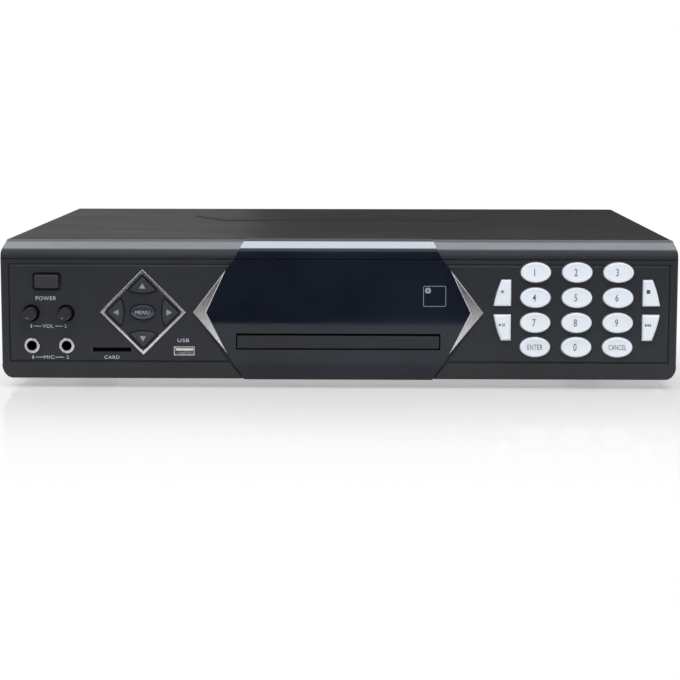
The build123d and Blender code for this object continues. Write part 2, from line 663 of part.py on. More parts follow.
with BuildPart() as mic_board:
    board_z = (JACK_LEVELS[1] + MIC_BOARD_TOP) / 2
    face_block((MIC_RIBBON, board_z), (MIC_BOARD_WIDTH, BOARD_THICK), MIC_BOARD_DEPTHS)
    for at in MIC_AT:
        face_block((at[0], sum(JACK_LEVELS) / 2), (JACK_WIDTH, JACK_LEVELS[1] - JACK_LEVELS[0]),
                   (PANEL_WALL, JACK_END))
        face_rod(at, MIC_BUSH / 2, (-1.0, PANEL_WALL))
        face_rod(at, MIC_BORE / 2, (-2, JACK_END - 2), Mode.SUBTRACT)
    for at in KNOB_AT:
        pot_height = 2 * (at[1] - MIC_BOARD_TOP)
        face_block(at, (POT_WIDTH, pot_height), POT)
        face_rod(at, POT_COLLAR, (KNOB_REAR + 1.5, POT[0]))
        face_rod(at, SPINDLE_RADIUS + RUNNING_GAP, (KNOB_REAR, POT[1] - 0.5), Mode.SUBTRACT)
    face_block((MIC_RIBBON, MIC_BOARD_TOP + MIC_SOCKET[1] / 2), MIC_SOCKET, MIC_SOCKET_DEPTHS)
save(mic_board, "mic_board")

with BuildPart() as media_module:
    face_block(MEDIA_BOARD[0], (MEDIA_BOARD[1], BOARD_THICK), MEDIA_DEPTHS)
    usb_middle = (USB_AT[0], MEDIA_TOP + USB_SHELL[1] / 2)
    mouth = [length - 2 * USB_WALL for length in USB_SHELL]
    face_block(usb_middle, USB_SHELL, USB_DEPTHS)
    face_block(usb_middle, mouth, (-1, USB_MOUTH), Mode.SUBTRACT)
    face_block((usb_middle[0], usb_middle[1] + 0.8), USB_TONGUE, USB_TONGUE_DEPTHS)
    face_block((CARD_AT[0], MEDIA_TOP + CARD_HOLDER[1] / 2), CARD_HOLDER,
               (PANEL_WALL, CARD_HOLDER_END))
    face_block(CARD_AT, CARD_SLOT, (0, CARD_SLOT_END), Mode.SUBTRACT)
save(media_module, "media_module")

with BuildPart() as display_module:
    face_block(*DISPLAY_BOARD, (DISPLAY_FRONT, DISPLAY_FRONT + BOARD_THICK))
    board_holes(DISPLAY_POSTS, DISPLAY_FRONT)
    face_block(WINDOW_AT, DISPLAY_GLASS, (DISPLAY_GLASS_FRONT, DISPLAY_FRONT))
    face_block(SENSOR_AT, (SENSOR_CASE, SENSOR_CASE), (SENSOR_DEPTHS[1], DISPLAY_FRONT))
    face_rod(SENSOR_AT, SENSOR_LENS, SENSOR_DEPTHS)
    behind_board(DISPLAY_FRONT, (0, DISPLAY_SOCKET_LEVEL), RIBBON_SOCKET, RIBBON_SOCKET_DEPTH)
save(display_module, "display_module")


# ------------------------------------------------------------------ tray and its gears
def involute(angle):
    """Involute function of a pressure angle."""
    return tan(angle) - angle


def gear_outline(level, at, teeth, module, first):
    """Involute spur gear with shortened teeth; first is one tooth's direction."""
    pitch = teeth * module / 2
    base = pitch * cos(radians(PRESSURE_ANGLE))
    root, tip = pitch - DEDENDUM * module, pitch + ADDENDUM * module
    half_tooth = pi / (2 * teeth) - BACKLASH / (2 * pitch)
    flank = []
    for step in range(5):
        radius = max(root, base) + step / 4 * (tip - max(root, base))
        turn = half_tooth + involute(radians(PRESSURE_ANGLE)) - involute(acos(base / radius))
        flank.append((radius * cos(turn), radius * sin(turn)))
    low = (root * 0.9, flank[0][1])
    with BuildSketch(Plane.XY.offset(level)) as gear:
        with Locations(at):
            Circle(root)
        with Locations(Location((at[0], at[1], 0), (0, 0, first))):
            with PolarLocations(0, teeth):
                Polygon(low, *flank, *[(x, -y) for x, y in reversed(flank)],
                        (low[0], -low[1]), align=None)
    return gear.sketch


with BuildPart() as disc_tray:
    block((-TRAY_HALF, TRAY_HALF), (TRAY_FRONT, TRAY_REAR), (TRAY_LOW, TRAY_HIGH))
    corners = disc_tray.edges().filter_by(Axis.Z).group_by(Axis.Y)[-1]
    fillet(corners, radius=TRAY_CORNER)
    hollow_half = TRAY_HALF - TRAY_SKIRT
    block((-hollow_half, hollow_half), (TRAY_FRONT + TRAY_ENDS[0], TRAY_REAR - TRAY_ENDS[1]),
          (TRAY_LOW - 1, TRAY_UNDER), Mode.SUBTRACT)
    post((0, SPINDLE_Y), DISC_RECESS, (DISC_FLOOR, TRAY_HIGH + 1), Mode.SUBTRACT)
    post((0, SPINDLE_Y), SMALL_RECESS, (SMALL_FLOOR, TRAY_HIGH + 1), Mode.SUBTRACT)
    post((0, SPINDLE_Y), SLOT_HALF, (TRAY_LOW - 1, TRAY_HIGH + 1), Mode.SUBTRACT)
    block((-SLOT_HALF, SLOT_HALF), (SPINDLE_Y, TRAY_REAR + 1), (TRAY_LOW - 1, TRAY_HIGH + 1),
          Mode.SUBTRACT)
    for side in (-1, 1):
        post((side * FINGER_AT, SPINDLE_Y - FINGER_AT), FINGER_RADIUS,
             (DISC_FLOOR, TRAY_HIGH + 1), Mode.SUBTRACT)
    rack_pitch = PINION_AT[0] - PITCH_RADIUS
    rack_root = rack_pitch - DEDENDUM * PINION_MODULE
    block((-hollow_half, rack_root), RACK_ENDS, (RACK_LOW, TRAY_UNDER))
    tooth = PINION_MODULE * pi
    with BuildSketch(Plane.XY.offset(RACK_LOW)):
        for index in RACK_TEETH:
            middle = PINION_AT[1] + (index + 0.5) * tooth
            root_half = tooth / 4 + DEDENDUM * tan(radians(PRESSURE_ANGLE)) - BACKLASH / 2
            tip_half = tooth / 4 - ADDENDUM * tan(radians(PRESSURE_ANGLE)) - BACKLASH / 2
            Polygon((rack_root - 0.2, middle - root_half), (rack_root, middle - root_half),
                    (rack_pitch + ADDENDUM, middle - tip_half),
                    (rack_pitch + ADDENDUM, middle + tip_half),
                    (rack_root, middle + root_half), (rack_root - 0.2, middle + root_half),
                    align=None)
    extrude(amount=TRAY_UNDER - RACK_LOW)
save(disc_tray, "disc_tray")

with BuildPart() as tray_door:
    block((-DOOR_HALF, DOOR_HALF), (FACE_Y - FASCIA_PROUD, TRAY_FRONT),
          (PANEL_Z + DOOR_LOW, PANEL_Z + DOOR_HIGH))
    front = tray_door.faces().sort_by(Axis.Y)[0]
    chamfer(front.edges().filter_by(Axis.X), length=0.9)
save(tray_door, "tray_door")

with BuildPart() as tray_drive_gear:
    extrude(gear_outline(GEAR_LEVELS[0], PINION_AT, WHEEL_TEETH, WHEEL_MODULE, 0),
            amount=GEAR_LEVELS[1] - GEAR_LEVELS[0])
    extrude(gear_outline(GEAR_LEVELS[1], PINION_AT, PINION_TEETH, PINION_MODULE, 180),
            amount=GEAR_LEVELS[2] - GEAR_LEVELS[1])
    post(PINION_AT, AXLE / 2 + RUNNING_GAP, THROUGH_GEARS, Mode.SUBTRACT)
save(tray_drive_gear, "tray_drive_gear")

with BuildPart() as pulley_gear:
    extrude(gear_outline(GEAR_LEVELS[0], PULLEY_AT, SMALL_TEETH, WHEEL_MODULE,
                         180 + 180 / SMALL_TEETH), amount=PULLEY_LEVELS[0] - GEAR_LEVELS[0])
    post(PULLEY_AT, BELT_RADIUS + PULLEY_FLANGE, PULLEY_LEVELS[:2])
    post(PULLEY_AT, BELT_RADIUS - RUNNING_GAP, PULLEY_LEVELS[1:3])
    post(PULLEY_AT, BELT_RADIUS + PULLEY_FLANGE, PULLEY_LEVELS[2:])
    post(PULLEY_AT, AXLE / 2 + RUNNING_GAP, THROUGH_GEARS, Mode.SUBTRACT)
save(pulley_gear, "pulley_gear")

with BuildPart() as motor_pulley:
    post(MOTOR_AT, MOTOR_BELT_RADIUS + PULLEY_FLANGE, PULLEY_LEVELS[:2])
    post(MOTOR_AT, MOTOR_BELT_RADIUS - RUNNING_GAP, PULLEY_LEVELS[1:3])
    post(MOTOR_AT, MOTOR_BELT_RADIUS + PULLEY_FLANGE, PULLEY_LEVELS[2:])
    post(MOTOR_AT, MOTOR_SHAFT, (14, PULLEY_LEVELS[0]))
save(motor_pulley, "motor_pulley")


def belt_outline(grow):
    """Loop round both pulleys, as one filled outline."""
    with BuildSketch(Plane.XY.offset(PULLEY_LEVELS[1] + 0.2)) as loop:
        with Locations(PULLEY_AT):
            Circle(BELT_RADIUS + grow)
        with Locations(MOTOR_AT):
            Circle(MOTOR_BELT_RADIUS + grow)
        make_hull()
    return loop.sketch


with BuildPart() as drive_belt:
    extrude(belt_outline(BELT_THICK), amount=BELT_HEIGHT)
    extrude(belt_outline(0), amount=BELT_HEIGHT, mode=Mode.SUBTRACT)
save(drive_belt, "drive_belt")

with BuildPart() as loading_motor:
    post(MOTOR_AT, MOTOR_RADIUS, (MOTOR_BOTTOM, DECK[0]))
    fillet(loading_motor.faces().sort_by(Axis.Z)[0].edges(), radius=1)
    post(MOTOR_AT, MOTOR_BOSS, (DECK[0], DECK[0] + 1))
    post(MOTOR_AT, MOTOR_SHAFT + RUNNING_GAP, (13, 24), Mode.SUBTRACT)
save(loading_motor, "loading_motor")


# ------------------------------------------------------------------ drive frame
BRACKET = (34.5, 39.0)
BRACKET_HALF = 5.0
BRACKET_LOW = 13.0
TRAVERSE_WINDOW = ((-34.0, 34.0), (-101.0, 28.0))
REAR_WINDOW_HALF = 63.0
LEDGE_INNER = 61.5
TABS = (14.0, 16.0)         # lengths of the front and rear hold-down tabs
BRIDGE_OUTER = 73.0
BRIDGE_HALF = 23.0          # along Y, about the spindle
STANDOFF = 3.0
LOADER_FOOT = 6.0
SCREW_HOLE = 1.6
THREAD_HOLE = 1.3
SPINDLE_BORE = 1.05
HUB_RADIUS = 7.4
LENS_Y = SPINDLE_Y + 23.0

with BuildPart() as loader_frame:
    block((-FRAME_INNER, FRAME_INNER), (FRAME_FRONT, FRAME_REAR), DECK)
    block(*TRAVERSE_WINDOW, (DECK[0] - 1, DECK[1] + 1), Mode.SUBTRACT)
    for side in (-1, 1):
        wall = sorted((side * FRAME_INNER, side * (FRAME_INNER + FRAME_WALL)))
        ledge = sorted((side * LEDGE_INNER, side * FRAME_INNER))
        shelf = sorted((side * FRAME_INNER, side * BRIDGE_OUTER))
        bracket = sorted((side * BRACKET[0], side * BRACKET[1]))
        block(wall, (FRAME_FRONT, FRAME_REAR), (FRAME_LOW, FRAME_HIGH))
        block(ledge, (FRAME_FRONT, FRAME_REAR), (TRAY_LOW - 1.2, TRAY_LOW - 0.2))
        for tab in ((FRAME_FRONT, FRAME_FRONT + TABS[0]), (FRAME_REAR - TABS[1], FRAME_REAR)):
            block(ledge, tab, (TRAY_HIGH + 0.3, TRAY_HIGH + 1.8))
        block(shelf, (SPINDLE_Y - BRIDGE_HALF, SPINDLE_Y + BRIDGE_HALF),
              (FRAME_HIGH - 2, FRAME_HIGH))
        block(bracket, (PIVOT_Y - BRACKET_HALF, PIVOT_Y + BRACKET_HALF), (BRACKET_LOW, DECK[0]))
        with Locations((side * sum(BRACKET) / 2, PIVOT_Y, PIVOT_Z)):
            Cylinder(AXLE / 2 + RUNNING_GAP, 6, rotation=(0, 90, 0), mode=Mode.SUBTRACT)
    for at in LOADER_FEET:
        post(at, LOADER_FOOT, (FRAME_LOW, FRAME_LOW + STANDOFF))
        post(at, SCREW_HOLE, (FRAME_LOW - 1, FRAME_LOW + STANDOFF + 1), Mode.SUBTRACT)
    block((-FRAME_INNER, FRAME_INNER), (FRAME_REAR - 3, FRAME_REAR), (DECK[0], FRAME_HIGH - 6))
    block((-REAR_WINDOW_HALF, REAR_WINDOW_HALF), (TRAY_REAR + 2, FRAME_REAR - 6),
          (DECK[0] - 1, DECK[1] + 1), Mode.SUBTRACT)
    for at in (PINION_AT, PULLEY_AT):
        post(at, AXLE / 2, (DECK[1], GEAR_LEVELS[2] + 0.1))
        post(at, AXLE, (DECK[1], GEAR_LEVELS[0] - 0.1))
    post(MOTOR_AT, MOTOR_BOSS + 0.5, (DECK[0] - 1, DECK[1] + 1), Mode.SUBTRACT)
save(loader_frame, "loader_frame")

RAIL_ENDS = (SPINDLE_Y + 13.0, 8.0)
RAIL_POST = 4.0
TRAVERSE_ENDS = (SPINDLE_Y - 25.0, 22.0)
SLED_WINDOW = ((-17.0, 17.0), (SPINDLE_Y + 18.0, 6.0))
SPINDLE_PAD = (13.0, 20.5)  # radius and top
SCREW_BEARING = ((25.0, 30.0), (8.0, 12.0))
PIVOT_STUB = 9.0
SCREW_MOTOR = (SPINDLE_Y + 5.5, SPINDLE_Y + 17.0)
with BuildPart() as traverse_frame:
    block((-TRAVERSE_HALF, TRAVERSE_HALF), TRAVERSE_ENDS, TRAVERSE_PLATE)
    block(*SLED_WINDOW, (TRAVERSE_PLATE[0] - 1, TRAVERSE_PLATE[1] + 1), Mode.SUBTRACT)
    post((0, SPINDLE_Y), SPINDLE_PAD[0], (TRAVERSE_PLATE[1], SPINDLE_PAD[1]))
    for x in (-RAIL_X, RAIL_X):
        for y in RAIL_ENDS:
            block((x - 3, x + 3), (y, y + RAIL_POST), (TRAVERSE_PLATE[1], RAIL_Z + 2.5))
            rod((x, RAIL_Z), AXLE / 2, (y - 1, y + RAIL_POST + 1), Mode.SUBTRACT)
    block(*SCREW_BEARING, (TRAVERSE_PLATE[1], SCREW_Z + AXLE))
    rod((SCREW_X, SCREW_Z), AXLE / 2 + RUNNING_GAP, (7, 13), Mode.SUBTRACT)
    for side in (-1, 1):
        with Locations((side * (TRAVERSE_HALF + 3.5), PIVOT_Y, PIVOT_Z)):
            Cylinder(AXLE / 2, PIVOT_STUB, rotation=(0, 90, 0))
    post((0, SPINDLE_Y), SPINDLE_BORE, (16, 21), Mode.SUBTRACT)
save(traverse_frame, "traverse_frame")

with BuildPart() as sled_rails:
    for x in (-RAIL_X, RAIL_X):
        rod((x, RAIL_Z), AXLE / 2, (RAIL_ENDS[0] - 1, RAIL_ENDS[1] + RAIL_POST + 1))
save(sled_rails, "sled_rails")

with BuildPart() as sled_motor:
    rod((SCREW_X, SCREW_Z), SLED_MOTOR_RADIUS, SCREW_MOTOR)
    block((SCREW_X - 3, SCREW_X + 2), SCREW_MOTOR, (TRAVERSE_PLATE[1], SCREW_Z))
    rod((SCREW_X, SCREW_Z), AXLE / 2 + RUNNING_GAP, (SCREW_MOTOR[0] + 2, SCREW_MOTOR[1] + 1),
        Mode.SUBTRACT)
save(sled_motor, "sled_motor")

THREAD_RINGS = 19
THREAD_PITCH = 3.0
THREAD_WIDTH = 1.2
with BuildPart() as lead_screw:
    rod((SCREW_X, SCREW_Z), AXLE / 2, (SCREW_MOTOR[0] + 2.5, 12.5))
    for index in range(THREAD_RINGS):
        y = SCREW_MOTOR[1] + 2.0 + THREAD_PITCH * index
        rod((SCREW_X, SCREW_Z), AXLE / 2 + 0.5, (y, y + THREAD_WIDTH))
save(lead_screw, "lead_screw")

SLED = (LENS_Y - 5.0, LENS_Y + 20.0)
SLED_HALF = 25.0
SLED_LEVELS = (20.5, 26.5)
OPTICS = ((-12.0, 12.0), (SLED[0], SLED[0] + 18.0))
OPTICS_TOP = 29.3
LENS_STEPS = ((4.0, 30.0), (2.6, 30.9))     # radius and top of the lens holder and the lens
with BuildPart() as laser_sled:
    block((-SLED_HALF, SLED_HALF), SLED, SLED_LEVELS)
    block(*OPTICS, (SLED_LEVELS[1], OPTICS_TOP))
    for radius, top in LENS_STEPS:
        post((0, LENS_Y), radius, (OPTICS_TOP, top))
    for x in (-RAIL_X, RAIL_X):
        rod((x, RAIL_Z), AXLE / 2 + RUNNING_GAP, (SLED[0] - 1, SLED[1] + 1), Mode.SUBTRACT)
    block((SLED_HALF - 2, SLED_HALF + 0.5), (SLED[0] + 8, SLED[0] + 16), (22, SLED_LEVELS[1]))
save(laser_sled, "laser_sled")

ROTOR = (13.0, (21.0, 27.0))                # radius and levels
NECK_RADIUS = 6.0
PLATTER = (14.5, 2.0)                       # radius and thickness
HUB = (5.5, 2.2)                            # top radius and height
SPINDLE_FOOT = 17.5
with BuildPart() as turntable:
    post((0, SPINDLE_Y), *ROTOR)
    post((0, SPINDLE_Y), NECK_RADIUS, (ROTOR[1][1], DISC_PLANE - PLATTER[1]))
    post((0, SPINDLE_Y), PLATTER[0], (DISC_PLANE - PLATTER[1], DISC_PLANE))
    with Locations((0, SPINDLE_Y, DISC_PLANE + HUB[1] / 2)):
        Cone(HUB_RADIUS, *HUB)
    post((0, SPINDLE_Y), SPINDLE_BORE - RUNNING_GAP, (SPINDLE_FOOT, ROTOR[1][0]))
save(turntable, "turntable")

CLAMP_PLANE = DISC_PLANE + DISC_THICK
PUCK_LEVELS = (CLAMP_PLANE, 36.6, 41.2, 42.6)
PUCK_RADII = (14.0, 10.0, 13.0)
BRIDGE_HOLE = 10.6
BRIDGE_WINDOW = 42.0        # middle of each opening
with BuildPart() as clamp_puck:
    for radius, levels in zip(PUCK_RADII, zip(PUCK_LEVELS, PUCK_LEVELS[1:])):
        post((0, SPINDLE_Y), radius, levels)
    post((0, SPINDLE_Y), HUB_RADIUS + 0.8, (CLAMP_PLANE - 1, CLAMP_PLANE + 1.5), Mode.SUBTRACT)
    fillet(clamp_puck.faces().sort_by(Axis.Z)[-1].edges(), radius=0.5)
save(clamp_puck, "clamp_puck")

with BuildPart() as clamp_bridge:
    ends = (SPINDLE_Y - BRIDGE_HALF, SPINDLE_Y + BRIDGE_HALF)
    block((-BRIDGE_OUTER, BRIDGE_OUTER), ends, BRIDGE_LEVELS)
    for side in (-1, 1):
        foot = sorted((side * FRAME_INNER, side * BRIDGE_OUTER))
        block(foot, ends, (FRAME_HIGH, BRIDGE_LEVELS[0]))
        with Locations((side * BRIDGE_WINDOW, SPINDLE_Y, BRIDGE_LEVELS[0])):
            Box(24, 26, 10, mode=Mode.SUBTRACT)
    post((0, SPINDLE_Y), BRIDGE_HOLE, (38, 42), Mode.SUBTRACT)
save(clamp_bridge, "clamp_bridge")


# ------------------------------------------------------------------ casing
FLOOR = (PANEL_Z, PANEL_Z + STEEL)
CHASSIS_HALF = COVER_HALF - COVER_STEEL - 0.3
FLANGE_HIGH = 24.0
LIP_HIGH = 18.0
COVER_SCREWS = (-70.0, 100.0)
COVER_SCREW_Z = 17.0
REAR_SCREWS = [(105.0, 48.0), (165.0, 48.0), (-192.0, 36.0), (-148.0, 36.0)]
REAR_PANEL = (REAR_Y - STEEL, REAR_Y)
FRONT_LIP = (90.0, 206.0)   # front lip of the base, on each side
STANDOFF_RADII = (5.0, 3.5) # under the drive and under the boards
BASE_VENTS = (14, 30, 7, 3)             # pitch and number, each way
BASE_VENT = (6, 22)
SIDE_VENTS = (9, 17)                    # pitch and number
SIDE_VENT = (4, 40)
RAISED_HEXAGON = [(-112, 0), (-86, -40), (86, -40), (112, 0), (86, 40), (-86, 40)]
RAISED_AT = FACE_Y + 204
RAISED_HEIGHT = 0.6

with BuildPart() as chassis_base:
    block((-CHASSIS_HALF, CHASSIS_HALF), (FACE_Y + PANEL_DEPTH, REAR_PANEL[0]), FLOOR)
    for side in (-1, 1):
        flange = sorted((side * CHASSIS_HALF, side * (CHASSIS_HALF - STEEL)))
        block(flange, (COVER_FRONT, REAR_PANEL[0]), (PANEL_Z, FLANGE_HIGH))
        lip = sorted(side * end for end in FRONT_LIP)
        block(lip, (FACE_Y + PANEL_DEPTH, FACE_Y + PANEL_DEPTH + STEEL), (PANEL_Z, LIP_HIGH))
        for y in COVER_SCREWS:
            with Locations((side * CHASSIS_HALF, y, COVER_SCREW_Z)):
                Cylinder(SCREW_HOLE, 6, rotation=(0, 90, 0), mode=Mode.SUBTRACT)
    for at in LOADER_FEET:
        post(at, STANDOFF_RADII[0], (FLOOR[1], FRAME_LOW))
        post(at, THREAD_HOLE, (FLOOR[0] - 1, FRAME_LOW + 1), Mode.SUBTRACT)
    for at in BOARD_HOLES["main"] + BOARD_HOLES["power"]:
        post(at, STANDOFF_RADII[1], (FLOOR[1], CARD_LEVEL))
        post(at, THREAD_HOLE, (FLOOR[1], CARD_LEVEL + 1), Mode.SUBTRACT)
    with Locations((0, 20, FLOOR[0])):
        with GridLocations(*BASE_VENTS):
            Box(*BASE_VENT, 6, mode=Mode.SUBTRACT)
    for at in FOOT_PLACES:
        post(at, SCREW_HOLE, (FLOOR[0] - 1, FLOOR[1] + 1), Mode.SUBTRACT)
save(chassis_base, "chassis_base")

with BuildPart() as top_cover:
    with BuildSketch(Plane.XZ.offset(-COVER_FRONT)):
        with Locations((0, (COVER_TOP + PANEL_Z + 1) / 2)):
            Rectangle(2 * COVER_HALF, COVER_TOP - PANEL_Z - 1)
    extrude(amount=-(REAR_Y - COVER_FRONT))
    bends = top_cover.edges().filter_by(Axis.Y).group_by(Axis.Z)[-1]
    fillet(bends, radius=COVER_BEND)
    inner_half = COVER_HALF - COVER_STEEL
    block((-inner_half, inner_half), (COVER_FRONT - 1, REAR_Y + 1),
          (0, COVER_TOP - COVER_STEEL), Mode.SUBTRACT)
    for side in (-1, 1):
        with Locations((side * COVER_HALF, 10, 52)):
            with GridLocations(1, SIDE_VENTS[0], 1, SIDE_VENTS[1]):
                Box(6, *SIDE_VENT, mode=Mode.SUBTRACT)
        for y in COVER_SCREWS:
            with Locations((side * COVER_HALF, y, COVER_SCREW_Z)):
                Cylinder(SCREW_HOLE, 6, rotation=(0, 90, 0), mode=Mode.SUBTRACT)
    with BuildSketch(Plane.XY.offset(COVER_TOP)):
        with Locations((0, RAISED_AT)):
            Polygon(*RAISED_HEXAGON, align=None)
    extrude(amount=RAISED_HEIGHT, taper=50)
save(top_cover, "top_cover")

PANEL_HALF = CHASSIS_HALF - 0.2
REAR_LIP = 8.0
COLLAR_GAP = 1.4            # rear hole beyond a socket's barrel
INLET_HOLE = (27, 19)
REAR_VENTS = (7, 12)        # pitch and number
REAR_VENT = (3.5, 44)
with BuildPart() as rear_panel:
    block((-PANEL_HALF, PANEL_HALF), REAR_PANEL, (FLOOR[1], COVER_TOP - COVER_STEEL - 0.2))
    block((-PANEL_HALF + 2, PANEL_HALF - 2), (REAR_PANEL[0] - REAR_LIP, REAR_PANEL[0]),
          (FLOOR[1], FLOOR[1] + STEEL))
    for at in REAR_SCREWS:
        rod(at, SCREW_HOLE, (REAR_PANEL[0] - 1, REAR_Y + 1), Mode.SUBTRACT)
    for x in SOCKET_COLUMNS:
        for z in SOCKET_ROWS:
            rod((x, z), SOCKET_RADIUS + COLLAR_GAP, (REAR_Y - 4, REAR_Y + 1), Mode.SUBTRACT)
    with Locations((INLET_AT[0], REAR_Y, INLET_AT[1])):
        Box(INLET_HOLE[0], 6, INLET_HOLE[1], mode=Mode.SUBTRACT)
    with Locations((-40, REAR_Y, 52)):
        with GridLocations(REAR_VENTS[0], 1, REAR_VENTS[1], 1):
            Box(REAR_VENT[0], 6, REAR_VENT[1], mode=Mode.SUBTRACT)
save(rear_panel, "rear_panel")

FOOT_DRAFT = 1.5
FOOT_RECESS = (4.5, 4.5)    # radius and height of the screw's recess
with BuildPart() as feet:
    for at in FOOT_PLACES:
        with Locations((at[0], at[1], FOOT_HEIGHT / 2)):
            Cone(FOOT_RADIUS - FOOT_DRAFT, FOOT_RADIUS, FOOT_HEIGHT)
        post(at, FOOT_RECESS[0], (-1, FOOT_RECESS[1]), Mode.SUBTRACT)
        post(at, SCREW_HOLE, (FOOT_RECESS[1] - 0.5, FOOT_HEIGHT + 1), Mode.SUBTRACT)
save(feet, "feet")

CARD_TOP = CARD_LEVEL + BOARD_THICK
SOCKET_BLOCK = (6.5, 124.0, 66.0)       # half width, front and top
SOCKET_BORE = 1.7
with BuildPart() as av_jacks:
    for x in SOCKET_COLUMNS:
        block((x - SOCKET_BLOCK[0], x + SOCKET_BLOCK[0]), (SOCKET_BLOCK[1], REAR_PANEL[0]),
              (CARD_TOP, SOCKET_BLOCK[2]))
        for z in SOCKET_ROWS:
            rod((x, z), SOCKET_RADIUS + 1.3, (REAR_PANEL[0], REAR_Y + 0.8))
            rod((x, z), SOCKET_RADIUS, (REAR_Y, REAR_Y + SOCKET_PROUD))
            rod((x, z), SOCKET_BORE, (REAR_Y - 2, REAR_Y + SOCKET_PROUD + 1), Mode.SUBTRACT)
save(av_jacks, "av_jacks")

INLET_BODY = (13.0, 9.0)    # half width and half height
INLET_FRONT = 122.0
INLET_FLANGE = (30.0, 1.2, 22.0)
INLET_ROUND = 4.4           # each half of the figure-of-eight recess
INLET_PIN = 1.2
PIN_OFFSET = 3.4
with BuildPart() as mains_inlet:
    x, z = INLET_AT
    block((x - INLET_BODY[0], x + INLET_BODY[0]), (INLET_FRONT, REAR_Y),
          (z - INLET_BODY[1], z + INLET_BODY[1]))
    with Locations((x, REAR_Y + INLET_FLANGE[1] / 2, z)):
        Box(*INLET_FLANGE)
    with BuildSketch(Plane.XZ.offset(-(REAR_Y + 2))):
        with Locations((x - PIN_OFFSET, z), (x + PIN_OFFSET, z)):
            Circle(INLET_ROUND)
    extrude(amount=14, mode=Mode.SUBTRACT)
    for side in (-PIN_OFFSET, PIN_OFFSET):
        rod((x + side, z), INLET_PIN, (REAR_Y - 12, REAR_Y - 1))
save(mains_inlet, "mains_inlet")


# ------------------------------------------------------------------ inner boards
# A block is its X range, its Y range and its bottom and top above the board.
# A can is its place, its radius and its height.
MAIN_BLOCKS = (((128, 156), (52, 80), (0, 1.6)), ((131, 153), (55, 77), (1.6, 12)),
               ((96, 118), (58, 70), (0, 1.4)), ((96, 118), (78, 90), (0, 1.4)),
               ((166, 182), (60, 72), (0, 2)))
MAIN_CANS = [((x, 104), 4.0, 11) for x in (100, 112, 166, 180, 192)]
MAIN_SOCKETS = (100, 140, 180)
SINK_SLOTS = [131 + 4.5 * index for index in range(5)]
POWER_BLOCKS = (((-160, -126), (58, 92), (0, 30)), ((-167, -119), (67, 83), (5, 25)),
                ((-178, -174), (60, 110), (0, 34)), ((-150, -128), (104, 116), (0, 14)))
POWER_CANS = ([((-182, 48), 9.0, 30)] + [((x, 38), 5.5, 20) for x in (-148, -132, -116)]
              + [((-112, 60 + 12 * index), 4.0, 12) for index in range(3)])
POWER_SOCKETS = (-184, -125)
MAIN_SPAN = (80, 205)
POWER_SPAN = (-205, -95)
CARD_FRONT = 20.0
SOCKET_HEIGHT = 6.0
BOARD_SOCKET_Y = 26.0


def inner_board(span, holes, blocks, cans, sockets):
    """Horizontal board with its blocks, round cans and ribbon sockets."""
    with BuildPart() as board:
        block(span, (CARD_FRONT, CARD_REAR), (CARD_LEVEL, CARD_TOP))
        for at in holes:
            post(at, SCREW_HOLE, (CARD_LEVEL - 1, CARD_TOP + 1), Mode.SUBTRACT)
        for x, y, levels in blocks:
            block(x, y, (CARD_TOP + levels[0], CARD_TOP + levels[1]))
        for at, radius, height in cans:
            post(at, radius, (CARD_TOP, CARD_TOP + height))
        for x in sockets:
            block((x - 9, x + 9), (BOARD_SOCKET_Y - 3, BOARD_SOCKET_Y + 3),
                  (CARD_TOP, CARD_TOP + SOCKET_HEIGHT))
    return board.part


with BuildPart() as main_board:
    add(inner_board(MAIN_SPAN, BOARD_HOLES["main"], MAIN_BLOCKS, MAIN_CANS, MAIN_SOCKETS))
    for x in SINK_SLOTS:
        block((x, x + 2), (56, 76), (CARD_TOP + 6, CARD_TOP + 13), Mode.SUBTRACT)
save(main_board, "main_board")

with BuildPart() as power_board:
    add(inner_board(POWER_SPAN, BOARD_HOLES["power"], POWER_BLOCKS, POWER_CANS, POWER_SOCKETS))
save(power_board, "power_board")


def ribbon(x, start, level):
    """Flat cable from a front board back and down to a connector on a lower board."""
    with BuildSketch(Plane.YZ.offset(x - RIBBON_WIDTH / 2)) as strip:
        with BuildLine():
            FilletPolyline((start, level), (RIBBON_BEND_Y, level),
                           (BOARD_SOCKET_Y, level - RIBBON_SAG),
                           (BOARD_SOCKET_Y, CARD_TOP + SOCKET_HEIGHT), radius=RIBBON_BEND)
        trace(line_width=RIBBON_THICK)
    return extrude(strip.sketch, amount=RIBBON_WIDTH, mode=Mode.PRIVATE)


RIBBON_WIDTH = 14.0
RIBBON_THICK = 0.8
RIBBON_BEND = 6.0
RIBBON_BEND_Y = -40.0
RIBBON_SAG = 6.0
FRONT_SOCKET_REAR = FACE_Y + BOARD_FRONT + BOARD_THICK + RIBBON_SOCKET_DEPTH
with BuildPart() as ribbon_cables:
    for x in (KEYPAD_RIBBON, CONTROL_RIBBON):
        add(ribbon(x, FRONT_SOCKET_REAR, PANEL_Z + RIBBON_LEVEL))
    add(ribbon(MIC_RIBBON, FACE_Y + MIC_SOCKET_DEPTHS[1],
               PANEL_Z + MIC_BOARD_TOP + MIC_SOCKET[1] / 2))
save(ribbon_cables, "ribbon_cables")


# ------------------------------------------------------------------ screws
def screw(at, direction, head, shank):
    """Pan-head screw; direction points from the head's seat outwards."""
    seat = Plane(origin=at, z_dir=direction)
    with Locations(seat.location):
        Cylinder(head[0], head[1], align=(Align.CENTER, Align.CENTER, Align.MIN))
        Cylinder(shank[0], shank[1], align=(Align.CENTER, Align.CENTER, Align.MAX))


